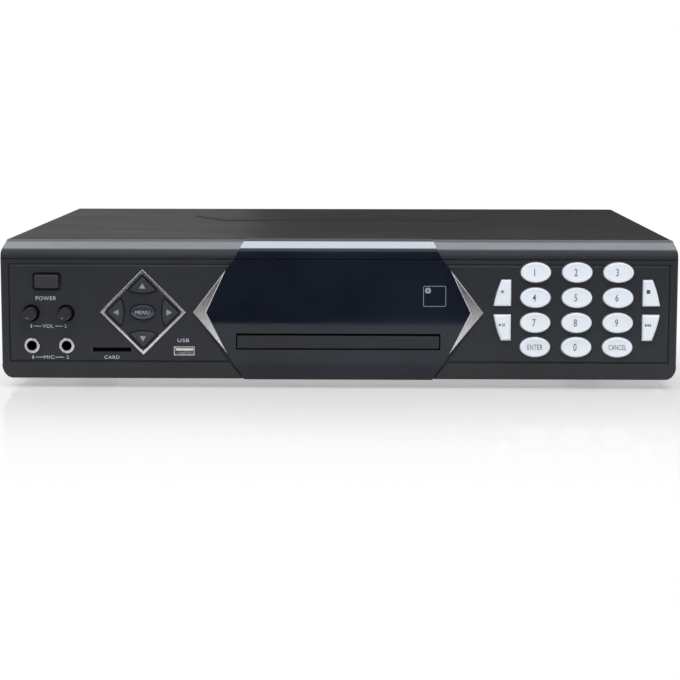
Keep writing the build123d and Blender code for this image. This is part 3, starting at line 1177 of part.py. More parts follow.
BACK = (0, 1, 0)
UP = (0, 0, 1)
DOWN = (0, 0, -1)
SMALL_HEAD = (2.3, 1.6)     # radius and height, as for every head and shank
PAN_HEAD = (2.8, 1.6)
FOOT_HEAD = (3.0, 1.8)
COVER_HEAD = (3.2, 0.6)
BOARD_SHANK = (1.0, 6.0)
CARD_SHANK = (1.2, 7.0)
LOADER_SHANK = (1.2, 5.5)
FOOT_SHANK = (1.4, 6.0)
SHEET_SHANK = (1.4, 4.0)
with BuildPart() as screws:
    for places, front in ((KEYPAD_POSTS + CONTROL_POSTS, BOARD_FRONT),
                          (DISPLAY_POSTS, DISPLAY_FRONT)):
        for x, z in places:
            screw((x, FACE_Y + front + BOARD_THICK, PANEL_Z + z), BACK, SMALL_HEAD, BOARD_SHANK)
    for x, z in REAR_SCREWS:
        screw((x, REAR_Y, z), BACK, PAN_HEAD, SHEET_SHANK)
    for x, y in LOADER_FEET:
        screw((x, y, FRAME_LOW + STANDOFF), UP, PAN_HEAD, LOADER_SHANK)
    for x, y in BOARD_HOLES["main"] + BOARD_HOLES["power"]:
        screw((x, y, CARD_TOP), UP, PAN_HEAD, CARD_SHANK)
    for x, y in FOOT_PLACES:
        screw((x, y, FOOT_RECESS[1]), DOWN, FOOT_HEAD, FOOT_SHANK)
    for side in (-1, 1):
        for y in COVER_SCREWS:
            screw((side * COVER_HALF, y, COVER_SCREW_Z), (side, 0, 0), COVER_HEAD, SHEET_SHANK)
save(screws, "screws")
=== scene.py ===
"""Karaoke machine with a motorised disc tray: its finishes, lettering, fasteners and studio."""

import json
import logging
import math
from dataclasses import dataclass, field
from enum import Enum
from functools import cache
from typing import Callable, Iterable, Optional, Sequence

import bmesh
import bpy
from mathutils import Matrix, Vector
from mathutils.bvhtree import BVHTree

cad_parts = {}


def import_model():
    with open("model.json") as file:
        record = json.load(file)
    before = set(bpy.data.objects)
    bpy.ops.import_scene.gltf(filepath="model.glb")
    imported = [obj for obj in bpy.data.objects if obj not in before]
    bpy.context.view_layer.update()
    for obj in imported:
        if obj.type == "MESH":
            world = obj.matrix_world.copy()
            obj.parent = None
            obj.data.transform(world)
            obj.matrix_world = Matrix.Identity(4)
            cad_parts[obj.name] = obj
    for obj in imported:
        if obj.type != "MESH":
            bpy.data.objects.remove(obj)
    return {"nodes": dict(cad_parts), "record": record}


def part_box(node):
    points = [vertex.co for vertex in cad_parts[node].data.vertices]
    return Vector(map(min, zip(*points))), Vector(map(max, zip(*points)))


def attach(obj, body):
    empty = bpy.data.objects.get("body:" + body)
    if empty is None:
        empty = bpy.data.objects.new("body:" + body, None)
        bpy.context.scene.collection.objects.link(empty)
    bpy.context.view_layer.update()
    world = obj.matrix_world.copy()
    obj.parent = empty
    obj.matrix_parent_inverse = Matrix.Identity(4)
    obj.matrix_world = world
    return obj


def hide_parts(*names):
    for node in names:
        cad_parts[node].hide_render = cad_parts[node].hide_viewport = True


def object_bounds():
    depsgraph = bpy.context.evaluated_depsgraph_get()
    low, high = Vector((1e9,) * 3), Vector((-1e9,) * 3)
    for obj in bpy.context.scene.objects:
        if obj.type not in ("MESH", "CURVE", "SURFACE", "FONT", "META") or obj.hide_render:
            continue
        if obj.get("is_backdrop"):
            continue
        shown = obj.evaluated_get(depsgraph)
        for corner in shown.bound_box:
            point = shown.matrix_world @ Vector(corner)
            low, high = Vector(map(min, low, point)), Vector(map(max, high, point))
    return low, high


LOG = logging.getLogger("karaoke_machine")
MM = 0.001
FORWARD, BACKWARD, UPWARD = Vector((0, -1, 0)), Vector((0, 1, 0)), Vector((0, 0, 1))

Colour = tuple[float, float, float]
Point2 = tuple[float, float]
Point3 = tuple[float, float, float]
Node = bpy.types.Node
Tree = bpy.types.NodeTree
Socket = bpy.types.NodeSocket
Piece = bpy.types.Object
Flat = bmesh.types.BMesh


class Slot(str, Enum):
    """Material slots of the machine's record."""

    PANEL = "panel_plastic"
    FASCIA = "fascia_gloss"
    CHROME = "chrome_trim"
    SILVER = "silver_key"
    MENU = "menu_gloss"
    KNOB = "knob_black"
    POWER = "power_plastic"
    DOOR = "door_plastic"
    COVER = "cover_paint"
    ZINC = "zinc_steel"
    REAR = "rear_paint"
    FOOT = "foot_rubber"
    SCREW = "screw_steel"
    BOARD = "board_green"
    DISPLAY = "display_glass"
    FRAME = "frame_plastic"
    TRAY = "tray_plastic"
    GEAR = "gear_plastic"
    BELT = "belt_rubber"
    MOTOR = "motor_steel"
    ROD = "rod_steel"
    SLED = "sled_metal"
    SOCKET = "socket_mix"
    MEDIA = "media_metal"
    RIBBON = "ribbon_vinyl"


class Side(Enum):
    """Which way a printed face looks along Y."""

    FRONT = -1
    REAR = 1


# ---------------------------------------------------------------- node trees
class NodeBuilder:
    """Short calls that add and link the nodes of one tree."""

    def __init__(self, tree: Tree) -> None:
        """Take hold of the tree to fill."""
        self.tree = tree

    def feed(self, node: Node, inputs: dict) -> Node:
        """Set or link a node's inputs.

        Args:
            node: The node.
            inputs: Socket name or number to a value, or to the socket that feeds it.

        Returns:
            The same node.
        """
        for key, value in inputs.items():
            if isinstance(value, Socket):
                self.tree.links.new(value, node.inputs[key])
            else:
                node.inputs[key].default_value = value
        return node

    def node(self, kind: str, inputs: Optional[dict] = None, **settings: object) -> Node:
        """Add a node.

        Args:
            kind: The node's Blender type.
            inputs: Its inputs, as for feed.
            **settings: The node's own properties.

        Returns:
            The new node.
        """
        made = self.tree.nodes.new(kind)
        for key, value in settings.items():
            setattr(made, key, value)
        return self.feed(made, inputs or {})

    def first(self, kind: str, inputs: Optional[dict] = None, **settings: object) -> Socket:
        """Add a node and return its first output."""
        return self.node(kind, inputs, **settings).outputs[0]

    def math(self, operation: str, one: object, other: object = 0.0) -> Socket:
        """Add a Math node and return its output."""
        return self.first("ShaderNodeMath", {0: one, 1: other}, operation=operation)

    def ranged(self, value: object, low: float, high: float, start: float = 0.0,
               end: float = 1.0) -> Socket:
        """Map start..end of a value to low..high, clamped, and return the result."""
        return self.first("ShaderNodeMapRange", {
            "Value": value, "From Min": start, "From Max": end, "To Min": low, "To Max": high})

    def mixed(self, share: object, one: object, other: object) -> Socket:
        """Mix two colours by a share and return the result."""
        node = self.node("ShaderNodeMix", {0: share, 6: one, 7: other}, data_type="RGBA")
        return node.outputs[2]

    def place(self) -> Socket:
        """Return the object's own coordinates."""
        return self.node("ShaderNodeTexCoord").outputs["Object"]

    def split(self, vector: Socket, axis: int) -> Socket:
        """Return one coordinate of a vector."""
        return self.node("ShaderNodeSeparateXYZ", {0: vector}).outputs[axis]

    def vector(self, x: object = 0.0, y: object = 0.0, z: object = 0.0) -> Socket:
        """Join three coordinates to a vector."""
        return self.first("ShaderNodeCombineXYZ", {0: x, 1: y, 2: z})

    def noise(self, place: Socket, scale: object, detail: float, roughness: float = 0.5,
              **more: float) -> Socket:
        """Add a Noise Texture and return its value."""
        return self.first("ShaderNodeTexNoise", {
            "Vector": place, "Scale": scale, "Detail": detail, "Roughness": roughness, **more})


def rgba(colour: Colour, scale: float = 1.0) -> tuple[float, float, float, float]:
    """Give a colour, scaled, with full alpha."""
    return (colour[0] * scale, colour[1] * scale, colour[2] * scale, 1.0)


def new_group(name: str, inputs: Sequence[str], outputs: Sequence[str]
              ) -> tuple[NodeBuilder, dict[str, Socket], Node]:
    """Start a shader node group.

    Args:
        name: The group's name.
        inputs: Input names.
        outputs: Output names.

    Returns:
        The group's builder, its input sockets by name and its output node.
    """
    tree = bpy.data.node_groups.new(name, "ShaderNodeTree")
    for way, labels in (("INPUT", inputs), ("OUTPUT", outputs)):
        for label in labels:
            tree.interface.new_socket(label, in_out=way, socket_type="NodeSocketFloat")
    nodes = NodeBuilder(tree)
    entry = nodes.node("NodeGroupInput").outputs
    return nodes, {label: entry[label] for label in inputs}, nodes.node("NodeGroupOutput")


@cache
def grain_group() -> Tree:
    """Build the shared moulded grain, slow colour drift and handling haze.

    Returns:
        The shader group.
    """
    nodes, sizes, out = new_group("moulded_grain", ("Grain Size", "Drift Size"),
                                  ("Grain", "Drift", "Haze"))
    place = nodes.place()
    wiped = nodes.first("ShaderNodeMapping", {
        "Vector": place, "Rotation": (0.0, 0.5, 0.0), "Scale": (0.35, 1.0, 1.6)})
    noises = {
        "Grain": nodes.noise(place, nodes.math("DIVIDE", 1.0, sizes["Grain Size"]), 2.0, 0.6),
        "Drift": nodes.noise(place, nodes.math("DIVIDE", 1.0, sizes["Drift Size"]), 3.0),
        "Haze": nodes.noise(wiped, 30.0, 5.0, 0.62, Distortion=0.6)}
    nodes.feed(out, {label: nodes.ranged(noise, 0.0, 1.0, 0.3, 0.7)
                     for label, noise in noises.items()})
    return nodes.tree


@cache
def streak_group() -> Tree:
    """Build the shared streaks along X, as on rolled or brushed metal.

    Returns:
        The shader group.
    """
    nodes, sizes, out = new_group("drawn_streaks", ("Pitch", "Length"), ("Streaks",))
    place = nodes.place()
    stretched = [nodes.math("MULTIPLY", nodes.split(place, axis),
                            nodes.math("DIVIDE", 1.0, sizes[size]))
                 for axis, size in enumerate(("Length", "Pitch", "Pitch"))]
    noise = nodes.noise(nodes.vector(*stretched), 1.0, 3.0, 0.55)
    nodes.feed(out, {"Streaks": nodes.ranged(noise, 0.0, 1.0, 0.3, 0.7)})
    return nodes.tree


@cache
def dust_group() -> Tree:
    """Build the shared fine dust that lies on faces that look up.

    Returns:
        The shader group.
    """
    nodes, sizes, out = new_group("settled_dust", ("Amount",), ("Dust",))
    normal = nodes.node("ShaderNodeNewGeometry").outputs["Normal"]
    flat = nodes.ranged(nodes.split(normal, 2), 0.0, 1.0, 0.6, 1.0)
    patchy = nodes.ranged(nodes.noise(nodes.place(), 45.0, 6.0, 0.7), 0.2, 1.0, 0.35, 0.65)
    spread = nodes.math("MULTIPLY", nodes.math("MULTIPLY", flat, patchy), sizes["Amount"])
    nodes.feed(out, {"Dust": spread})
    return nodes.tree


# ---------------------------------------------------------------- finishes
DUST_COLOUR: Colour = (0.42, 0.41, 0.39)
BLACK: Colour = (0.0, 0.0, 0.0)
DRIFT_SIZE = 0.07
COAT_ROUGHNESS = 0.04


@dataclass(frozen=True)
class Finish:
    """A moulded or sprayed surface with fine grain.

    Attributes:
        name: The material's name.
        colour: Its colour in linear light.
        roughness: Its middle roughness.
        metallic: 1 for bare metal.
        specular: Strength of its dielectric shine.
        coat: Weight of a clear lacquer.
        grain_size: Size of the grain, in metres.
        grain_depth: Height of the grain, in metres.
        tint_drift: Share by which the colour drifts over the surface.
        gloss_drift: How far the roughness drifts.
        dust: Share of the colour that dust covers on upward faces.
    """

    name: str
    colour: Colour
    roughness: float = 0.4
    metallic: float = 0.0
    specular: float = 0.5
    coat: float = 0.0
    grain_size: float = 0.0004
    grain_depth: float = 0.00001
    tint_drift: float = 0.08
    gloss_drift: float = 0.06
    dust: float = 0.04

    def material(self) -> bpy.types.Material:
        """Return the finish as a Blender material, made once.

        Returns:
            The material.
        """
        label = f"{self.name}_finish"
        made = bpy.data.materials.get(label)
        if made is None:
            made = bpy.data.materials.new(label)
            made.use_nodes = True
            made.node_tree.nodes.clear()
            made.diffuse_color = rgba(self.colour)
            nodes = NodeBuilder(made.node_tree)
            shader = nodes.node("ShaderNodeBsdfPrincipled", {
                "Metallic": self.metallic, "Specular IOR Level": self.specular,
                "Coat Weight": self.coat, "Coat Roughness": COAT_ROUGHNESS})
            nodes.node("ShaderNodeOutputMaterial", {"Surface": shader.outputs[0]})
            self.dress(nodes, shader)
        return made

    def grain(self, nodes: NodeBuilder) -> bpy.types.NodeOutputs:
        """Place the shared grain with this finish's size and return its outputs.

        Args:
            nodes: The material's node builder.

        Returns:
            The outputs Grain, Drift and Haze.
        """
        return nodes.node("ShaderNodeGroup", {"Grain Size": self.grain_size,
                                              "Drift Size": DRIFT_SIZE},
                          node_tree=grain_group()).outputs

    def tinted(self, nodes: NodeBuilder, share: object) -> Socket:
        """Let the colour drift between a darker and a lighter tone."""
        return nodes.mixed(share, rgba(self.colour, 1 - self.tint_drift),
                           rgba(self.colour, 1 + self.tint_drift))

    def dusted(self, nodes: NodeBuilder, colour: Socket) -> Socket:
        """Lay dust over a colour."""
        dust = nodes.first("ShaderNodeGroup", {"Amount": self.dust}, node_tree=dust_group())
        return nodes.mixed(dust, colour, rgba(DUST_COLOUR))

    def polished(self, nodes: NodeBuilder, share: Socket) -> Socket:
        """Let the roughness drift about its middle."""
        return nodes.ranged(share, self.roughness - self.gloss_drift,
                            self.roughness + self.gloss_drift)

    def bumped(self, nodes: NodeBuilder, height: Socket) -> Socket:
        """Raise the surface by a height of 0 to 1 times the grain's depth."""
        return nodes.first("ShaderNodeBump", {"Distance": self.grain_depth, "Height": height})

    def dress(self, nodes: NodeBuilder, shader: Node) -> None:
        """Link the colour, roughness and grain to the shader.

        Args:
            nodes: The material's node builder.
            shader: Its Principled shader.
        """
        grain = self.grain(nodes)
        nodes.feed(shader, {
            "Base Color": self.dusted(nodes, self.tinted(nodes, grain["Drift"])),
            "Roughness": self.polished(nodes, grain["Haze"]),
            "Normal": self.bumped(nodes, grain["Grain"])})


@dataclass(frozen=True)
class DrawnMetal(Finish):
    """Metal or paint with fine streaks along X.

    Attributes:
        pitch: Width of the streaks, in metres.
        length: Length of the streaks, in metres.
        streak_tint: Share by which the streaks change the colour.
    """

    pitch: float = 0.0005
    length: float = 0.08
    streak_tint: float = 0.1

    def dress(self, nodes: NodeBuilder, shader: Node) -> None:
        """Link streaked colour, roughness and bump to the shader, as the base does.

        Args:
            nodes: The material's node builder.
            shader: Its Principled shader.
        """
        grain = self.grain(nodes)
        streaks = nodes.first("ShaderNodeGroup", {"Pitch": self.pitch, "Length": self.length},
                              node_tree=streak_group())
        drifted = self.tinted(nodes, grain["Drift"])
        darker = nodes.mixed(1.0 - self.streak_tint, rgba(BLACK), drifted)
        both = nodes.math("ADD", nodes.math("MULTIPLY", streaks, 0.5),
                          nodes.math("MULTIPLY", grain["Haze"], 0.5))
        nodes.feed(shader, {
            "Base Color": self.dusted(nodes, nodes.mixed(streaks, darker, drifted)),
            "Roughness": self.polished(nodes, both),
            "Normal": self.bumped(nodes, nodes.math("ADD", streaks, grain["Grain"]))})


@dataclass(frozen=True)
class Mottled(Finish):
    """Plated plastic whose mirror is broken by fine mottling.

    Attributes:
        mottle_size: Size of the mottling, in metres.
        mottle_tint: Share by which the mottling darkens the metal.
    """

    mottle_size: float = 0.0012
    mottle_tint: float = 0.25

    def dress(self, nodes: NodeBuilder, shader: Node) -> None:
        """Link mottled colour and roughness to the shader, as the base does.

        Args:
            nodes: The material's node builder.
            shader: Its Principled shader.
        """
        spots = nodes.noise(nodes.place(), 1.0 / self.mottle_size, 4.0, 0.7)
        mask = nodes.ranged(spots, 0.0, 1.0, 0.35, 0.65)
        nodes.feed(shader, {
            "Base Color": nodes.mixed(mask, rgba(self.colour, 1 - self.mottle_tint),
                                      rgba(self.colour)),
            "Roughness": nodes.ranged(mask, self.roughness + self.gloss_drift,
                                      self.roughness - self.gloss_drift),
            "Normal": self.bumped(nodes, self.grain(nodes)["Grain"])})


@dataclass(frozen=True)
class TwoTone(Finish):
    """Two finishes on one piece, parted by a plane.

    Attributes:
        axis: 0, 1 or 2: the axis that the plane crosses.
        level: Where the plane is, in metres.
        far_colour: Colour beyond the plane.
        far_metallic: Metallic value beyond it.
        far_roughness: Roughness beyond it.
    """

    axis: int = 2
    level: float = 0.0
    far_colour: Colour = (0.5, 0.5, 0.5)
    far_metallic: float = 0.0
    far_roughness: float = 0.4

    def dress(self, nodes: NodeBuilder, shader: Node) -> None:
        """Link both finishes to the shader through the plane's mask, as the base does.

        Args:
            nodes: The material's node builder.
            shader: Its Principled shader.
        """
        grain = self.grain(nodes)
        beyond = nodes.math("GREATER_THAN", nodes.split(nodes.place(), self.axis), self.level)
        colour = nodes.mixed(beyond, self.tinted(nodes, grain["Drift"]), rgba(self.far_colour))
        nodes.feed(shader, {
            "Base Color": self.dusted(nodes, colour),
            "Metallic": nodes.ranged(beyond, self.metallic, self.far_metallic),
            "Roughness": nodes.math(
                "ADD", nodes.ranged(beyond, self.roughness, self.far_roughness),
                nodes.math("MULTIPLY", grain["Haze"], self.gloss_drift)),
            "Normal": self.bumped(nodes, grain["Grain"])})


FINISHES: dict[Slot, Finish] = {
    Slot.PANEL: Finish(
        "panel_satin", (0.024, 0.026, 0.031), 0.36, specular=0.32, grain_size=3.5e-4,
        grain_depth=6e-6, gloss_drift=0.03, dust=0.03),
    Slot.FASCIA: Finish(
        "fascia_piano_black", (0.0085, 0.0118, 0.0205), 0.05, specular=0.34, coat=0.15,
        grain_size=4e-3, grain_depth=1.5e-6, tint_drift=0.3, gloss_drift=0.03, dust=0.02),
    Slot.CHROME: Mottled(
        "trim_plating", (0.86, 0.86, 0.87), 0.22, metallic=1.0, gloss_drift=0.02, grain_size=6e-4,
        grain_depth=2e-7, mottle_size=3e-3, mottle_tint=0.08),
    Slot.SILVER: Finish(
        "key_silver", (0.80, 0.85, 0.92), 0.22, specular=0.6, grain_size=1.8e-4,
        grain_depth=1.5e-6, tint_drift=0.03, gloss_drift=0.04, coat=0.3, dust=0.0),
    Slot.MENU: Finish(
        "menu_dome", (0.030, 0.036, 0.05), 0.16, specular=0.7, coat=0.6, grain_size=3e-4,
        grain_depth=1e-6, gloss_drift=0.03),
    Slot.KNOB: Finish("knob_satin", (0.017, 0.018, 0.022), 0.38, grain_size=2e-4, grain_depth=4e-6),
    Slot.POWER: Finish(
        "button_satin", (0.032, 0.034, 0.040), 0.33, grain_size=3e-4, grain_depth=5e-6,
        gloss_drift=0.03),
    Slot.DOOR: Finish(
        "door_satin", (0.017, 0.0185, 0.022), 0.3, specular=0.42, grain_size=3e-4,
        grain_depth=4e-6, gloss_drift=0.04),
    Slot.COVER: DrawnMetal(
        "cover_paint", (0.045, 0.044, 0.040), 0.42, specular=0.004, pitch=1.6e-3, length=0.11,
        streak_tint=0.22, grain_size=5e-4, dust=0.0),
    Slot.ZINC: DrawnMetal(
        "zinc_plate", (0.62, 0.62, 0.60), 0.34, metallic=1.0, pitch=4e-4, length=0.05,
        streak_tint=0.08, grain_depth=3e-6),
    Slot.REAR: Finish(
        "rear_paint", (0.022, 0.022, 0.024), 0.48, grain_size=7e-4, grain_depth=2e-5, dust=0.05),
    Slot.FOOT: Finish(
        "foot_rubber", (0.016, 0.016, 0.016), 0.75, specular=0.3, grain_size=9e-4,
        grain_depth=3e-5),
    Slot.SCREW: Mottled(
        "screw_plating", (0.42, 0.42, 0.42), 0.26, metallic=1.0, mottle_size=8e-4,
        grain_depth=2e-6),
    Slot.DISPLAY: Finish("display_board", (0.02, 0.05, 0.035), 0.3),
    Slot.FRAME: Finish("frame_plastic", (0.02, 0.02, 0.022), 0.5),
    Slot.TRAY: Finish(
        "tray_plastic", (0.033, 0.033, 0.036), 0.42, grain_size=5e-4, grain_depth=1.2e-5),
    Slot.GEAR: Finish("gear_acetal", (0.72, 0.72, 0.68), 0.38, tint_drift=0.04),
    Slot.BELT: Finish("belt_rubber", (0.014, 0.014, 0.014), 0.65, specular=0.35),
    Slot.MOTOR: DrawnMetal("motor_can", (0.6, 0.6, 0.6), 0.3, metallic=1.0),
    Slot.ROD: DrawnMetal(
        "ground_rod", (0.7, 0.7, 0.71), 0.16, metallic=1.0, pitch=2e-4, length=2e-3),
    Slot.SLED: Mottled("sled_casting", (0.34, 0.34, 0.35), 0.42, metallic=1.0, mottle_size=9e-4),
    Slot.RIBBON: DrawnMetal(
        "ribbon_vinyl", (0.66, 0.66, 0.63), pitch=1.2e-3, length=0.5, streak_tint=0.22),
}
INK = Finish("label_ink", (0.52, 0.56, 0.64), 0.5, grain_size=2e-4, tint_drift=0.1, dust=0.0)
LEGEND_INK = Finish(
    "legend_ink", (0.06, 0.07, 0.10), 0.5, grain_size=2e-4, tint_drift=0.12, dust=0.0)
SENSOR_INK = Finish(
    "sensor_ink", (0.26, 0.29, 0.34), 0.45, grain_size=2e-4, tint_drift=0.1, dust=0.0)
GOLD = Mottled("contact_gold", (0.83, 0.62, 0.28), 0.22, metallic=1.0)
GLASS = Finish(
    "lens_glass", (0.02, 0.03, 0.09), 0.06, specular=0.8, coat=1.0, grain_size=2e-3,
    grain_depth=5e-7, gloss_drift=0.02)
BOARD_GREEN: Colour = (0.012, 0.075, 0.03)
# How far behind the faces these parts change: the board's top above its underside, the
# media sockets' shells and the jacks behind the front, the rear sockets' metal behind the panel
BOARD_THICK, SHELL_DEPTH, JACK_DEPTH, SOCKET_START = 1.7 * MM, 16.0 * MM, 2.2 * MM, 1.0 * MM


def split_finishes() -> dict[Slot, Finish]:
    """Return the finishes that change at a plane of the machine.

    Returns:
        The finish of each slot whose pieces join a board with other parts.
    """
    board_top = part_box("main_board")[0].z + BOARD_THICK
    shells_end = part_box("front_panel")[0].y + SHELL_DEPTH
    shells_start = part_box("rear_panel")[1].y + SOCKET_START
    return {
        Slot.BOARD: TwoTone("board_solder_mask", BOARD_GREEN, roughness=0.35,
                            level=board_top, far_colour=(0.030, 0.030, 0.034)),
        Slot.SOCKET: TwoTone("socket_parts", (0.012, 0.012, 0.013), axis=1,
                             level=shells_start, far_colour=(0.74, 0.74, 0.74),
                             far_metallic=1.0, far_roughness=0.22),
        Slot.MEDIA: TwoTone("media_parts", (0.80, 0.80, 0.82), roughness=0.2, metallic=1.0,
                            axis=1, level=shells_end, far_colour=BOARD_GREEN)}


def microphone_finish() -> Finish:
    """Return the microphone board's finish: metal parts before a plane, black ones behind.

    Returns:
        The finish in two tones.
    """
    return TwoTone("jack_and_pot_parts", (0.72, 0.72, 0.74), roughness=0.25, metallic=1.0,
                   axis=1, level=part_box("front_panel")[0].y + JACK_DEPTH,
                   far_colour=(0.014, 0.014, 0.015), far_roughness=0.45)


# ---------------------------------------------------------------- meshes
LETTER_SPACING = 1.1
LETTER_STEPS = 4
CORNER_STEPS = 4


def new_object(name: str, mesh: bpy.types.Mesh, material: bpy.types.Material) -> Piece:
    """Put a mesh in the scene with one material.

    Args:
        name: The piece's name.
        mesh: Its mesh, already in place.
        material: Its material.

    Returns:
        The new object, at the origin.
    """
    made = bpy.data.objects.new(name, mesh)
    bpy.context.scene.collection.objects.link(made)
    mesh.materials.clear()
    mesh.materials.append(material)
    return made


def from_bmesh(work: Flat, name: str) -> bpy.types.Mesh:
    """Turn a work mesh into a plain mesh and free it.

    Args:
        work: The work mesh, which can't be used afterwards.
        name: Name of the plain mesh.

    Returns:
        The plain mesh.
    """
    mesh = bpy.data.meshes.new(name)
    work.to_mesh(mesh)
    work.free()
    return mesh


def settle(piece: Piece, body: str) -> None:
    """Let a finished piece ride on its body.

    Args:
        piece: The finished piece.
        body: Name of the body that carries it.
    """
    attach(piece, body)
    LOG.info("%s rides on %s", piece.name, body)


def middle(node: str) -> Vector:
    """Return the middle of a CAD node's box."""
    low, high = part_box(node)
    return (low + high) / 2


def lettering(words: str, width: float, height: float, bold: float = 0.0) -> Flat:
    """Make flat lettering as a mesh in the XY plane, about its own middle.

    Args:
        words: The lettering.
        width: Its width, in metres, or 0 to follow the height.
        height: Its height, in metres.
        bold: How far its strokes grow, in ems.

    Returns:
        The lettering's mesh.
    """
    curve = bpy.data.curves.new("lettering", "FONT")
    curve.body, curve.align_x, curve.align_y = words, "CENTER", "CENTER"
    curve.offset, curve.space_character = bold, LETTER_SPACING
    curve.resolution_u = LETTER_STEPS
    holder = bpy.data.objects.new("lettering", curve)
    bpy.context.scene.collection.objects.link(holder)
    mesh = bpy.data.meshes.new_from_object(
        holder.evaluated_get(bpy.context.evaluated_depsgraph_get()))
    flat = bmesh.new()
    flat.from_mesh(mesh)
    bpy.data.objects.remove(holder)
    bpy.data.curves.remove(curve)
    bpy.data.meshes.remove(mesh)
    xs = [vertex.co.x for vertex in flat.verts]
    ys = [vertex.co.y for vertex in flat.verts]
    scale_y = height / (max(ys) - min(ys))
    scale_x = width / (max(xs) - min(xs)) if width else scale_y
    centre = Vector(((max(xs) + min(xs)) / 2, (max(ys) + min(ys)) / 2, 0.0))
    for vertex in flat.verts:
        offset = vertex.co - centre
        vertex.co = (offset.x * scale_x, offset.y * scale_y, 0.0)
    return flat


def polygons(loops: Iterable[Sequence[Point2]], scale: float = 1.0) -> Flat:
    """Make flat shapes in the XY plane from closed lists of points.

    Args:
        loops: The points of each shape, in order round it.
        scale: Size of the points' unit, in metres.

    Returns:
        The shapes as one work mesh.
    """
    flat = bmesh.new()
    for loop in loops:
        flat.faces.new([flat.verts.new((x * scale, y * scale, 0.0)) for x, y in loop])
    return flat


def bar(left: float, low: float, right: float, high: float) -> tuple[Point2, ...]:
    """Return a rectangle's corners."""
    return ((left, low), (right, low), (right, high), (left, high))


def rounded_frame(width: float, height: float, line: float, radius: float) -> Flat:
    """Make a thin rounded frame in the XY plane, as quads between two rounded loops.

    Args:
        width: Its outer width.
        height: Its outer height.
        line: Width of its line.
        radius: Radius of its outer corners.

    Returns:
        The frame's mesh.
    """
    flat = bmesh.new()
    loops: list[list[bmesh.types.BMVert]] = []
    for corner in (radius, max(radius - line, 0.0)):
        points: list[Point2] = []
        for quarter, (sx, sy) in enumerate(((1, 1), (-1, 1), (-1, -1), (1, -1))):
            for step in range(CORNER_STEPS + 1):
                turn = (quarter + step / CORNER_STEPS) * math.pi / 2
                points.append((sx * (width / 2 - radius) + corner * math.cos(turn),
                               sy * (height / 2 - radius) + corner * math.sin(turn)))
        loops.append([flat.verts.new((x, y, 0.0)) for x, y in points])
    outer, inner = loops
    for index in range(len(outer)):
        follow = (index + 1) % len(outer)
        flat.faces.new((outer[index], outer[follow], inner[follow], inner[index]))
    return flat


@dataclass
class Printer:
    """Lays thin printed shapes on an upright face.

    Attributes:
        node: Name of the printed CAD node.
        side: Which way the printed face looks.
        lift: How far the ink stands proud, in metres.
        depth: How deep the ink goes behind its front, in metres.
        step: Longest edge of the ink's mesh, in metres, or 0 on a flat face.
    """

    node: str
    side: Side = Side.FRONT
    lift: float = 0.00004
    depth: float = 0.0001
    step: float = 0.0

    def __post_init__(self) -> None:
        """Make the search tree of the node's mesh."""
        mesh = bpy.data.objects[self.node].data
        self._surface = BVHTree.FromPolygons([vertex.co for vertex in mesh.vertices],
                                             [tuple(face.vertices) for face in mesh.polygons])

    def _level(self, x: float, z: float) -> float:
        """Return the ink's Y at a point of the face.

        Args:
            x: The point's X.
            z: The point's Z.

        Returns:
            The Y of the surface there, with the lift added.
        """
        way = self.side.value
        hit = self._surface.ray_cast(Vector((x, way * 1.0, z)), Vector((0.0, -way, 0.0)))[0]
        if hit is None:
            raise ValueError(f"nothing to print on at {x:.4f}, {z:.4f}")
        return hit.y + way * self.lift

    def _slice(self, flat: Flat) -> None:
        """Cut flat work into a grid, so that it can follow a curved face.

        Args:
            flat: The work mesh, which is cut in place.
        """
        for axis in (0, 1):
            values = [vertex.co[axis] for vertex in flat.verts]
            low, span = min(values), max(values) - min(values)
            cuts = math.ceil(span / self.step)
            way = Vector((1.0 - axis, float(axis), 0.0))
            for cut in range(1, cuts):
                bmesh.ops.bisect_plane(flat, geom=[*flat.verts, *flat.edges, *flat.faces],
                                       plane_co=way * (low + span * cut / cuts), plane_no=way,
                                       dist=1e-9)

    def lay(self, flats: Iterable[tuple[Flat, Point2]], name: str, finish: Finish, body: str) -> None:
        """Lay flat shapes on the face as one piece of thin closed solids.

        Args:
            flats: Flat meshes, each with the place of its middle as (x, z).
            name: The piece's name.
            finish: Its finish.
            body: The body it rides on.
        """
        joined = bmesh.new()
        for flat, (x, z) in flats:
            if self.step:
                self._slice(flat)
            bmesh.ops.triangulate(flat, faces=flat.faces)
            for vertex in flat.verts:
                px, pz = x - self.side.value * vertex.co.x, z + vertex.co.y
                vertex.co = (px, self._level(px, pz), pz)
            part = from_bmesh(flat, "ink")
            joined.from_mesh(part)
            bpy.data.meshes.remove(part)
        backs = bmesh.ops.extrude_face_region(joined, geom=list(joined.faces))["geom"]
        moved = [item for item in backs if isinstance(item, bmesh.types.BMVert)]
        bmesh.ops.translate(joined, verts=moved, vec=(0.0, -self.side.value * self.depth, 0.0))
        bmesh.ops.recalc_face_normals(joined, faces=joined.faces)
        settle(new_object(name, from_bmesh(joined, name), finish.material()), body)


# ---------------------------------------------------------------- geometry nodes
Shape = Callable[[NodeBuilder, dict[str, Socket]], Socket]


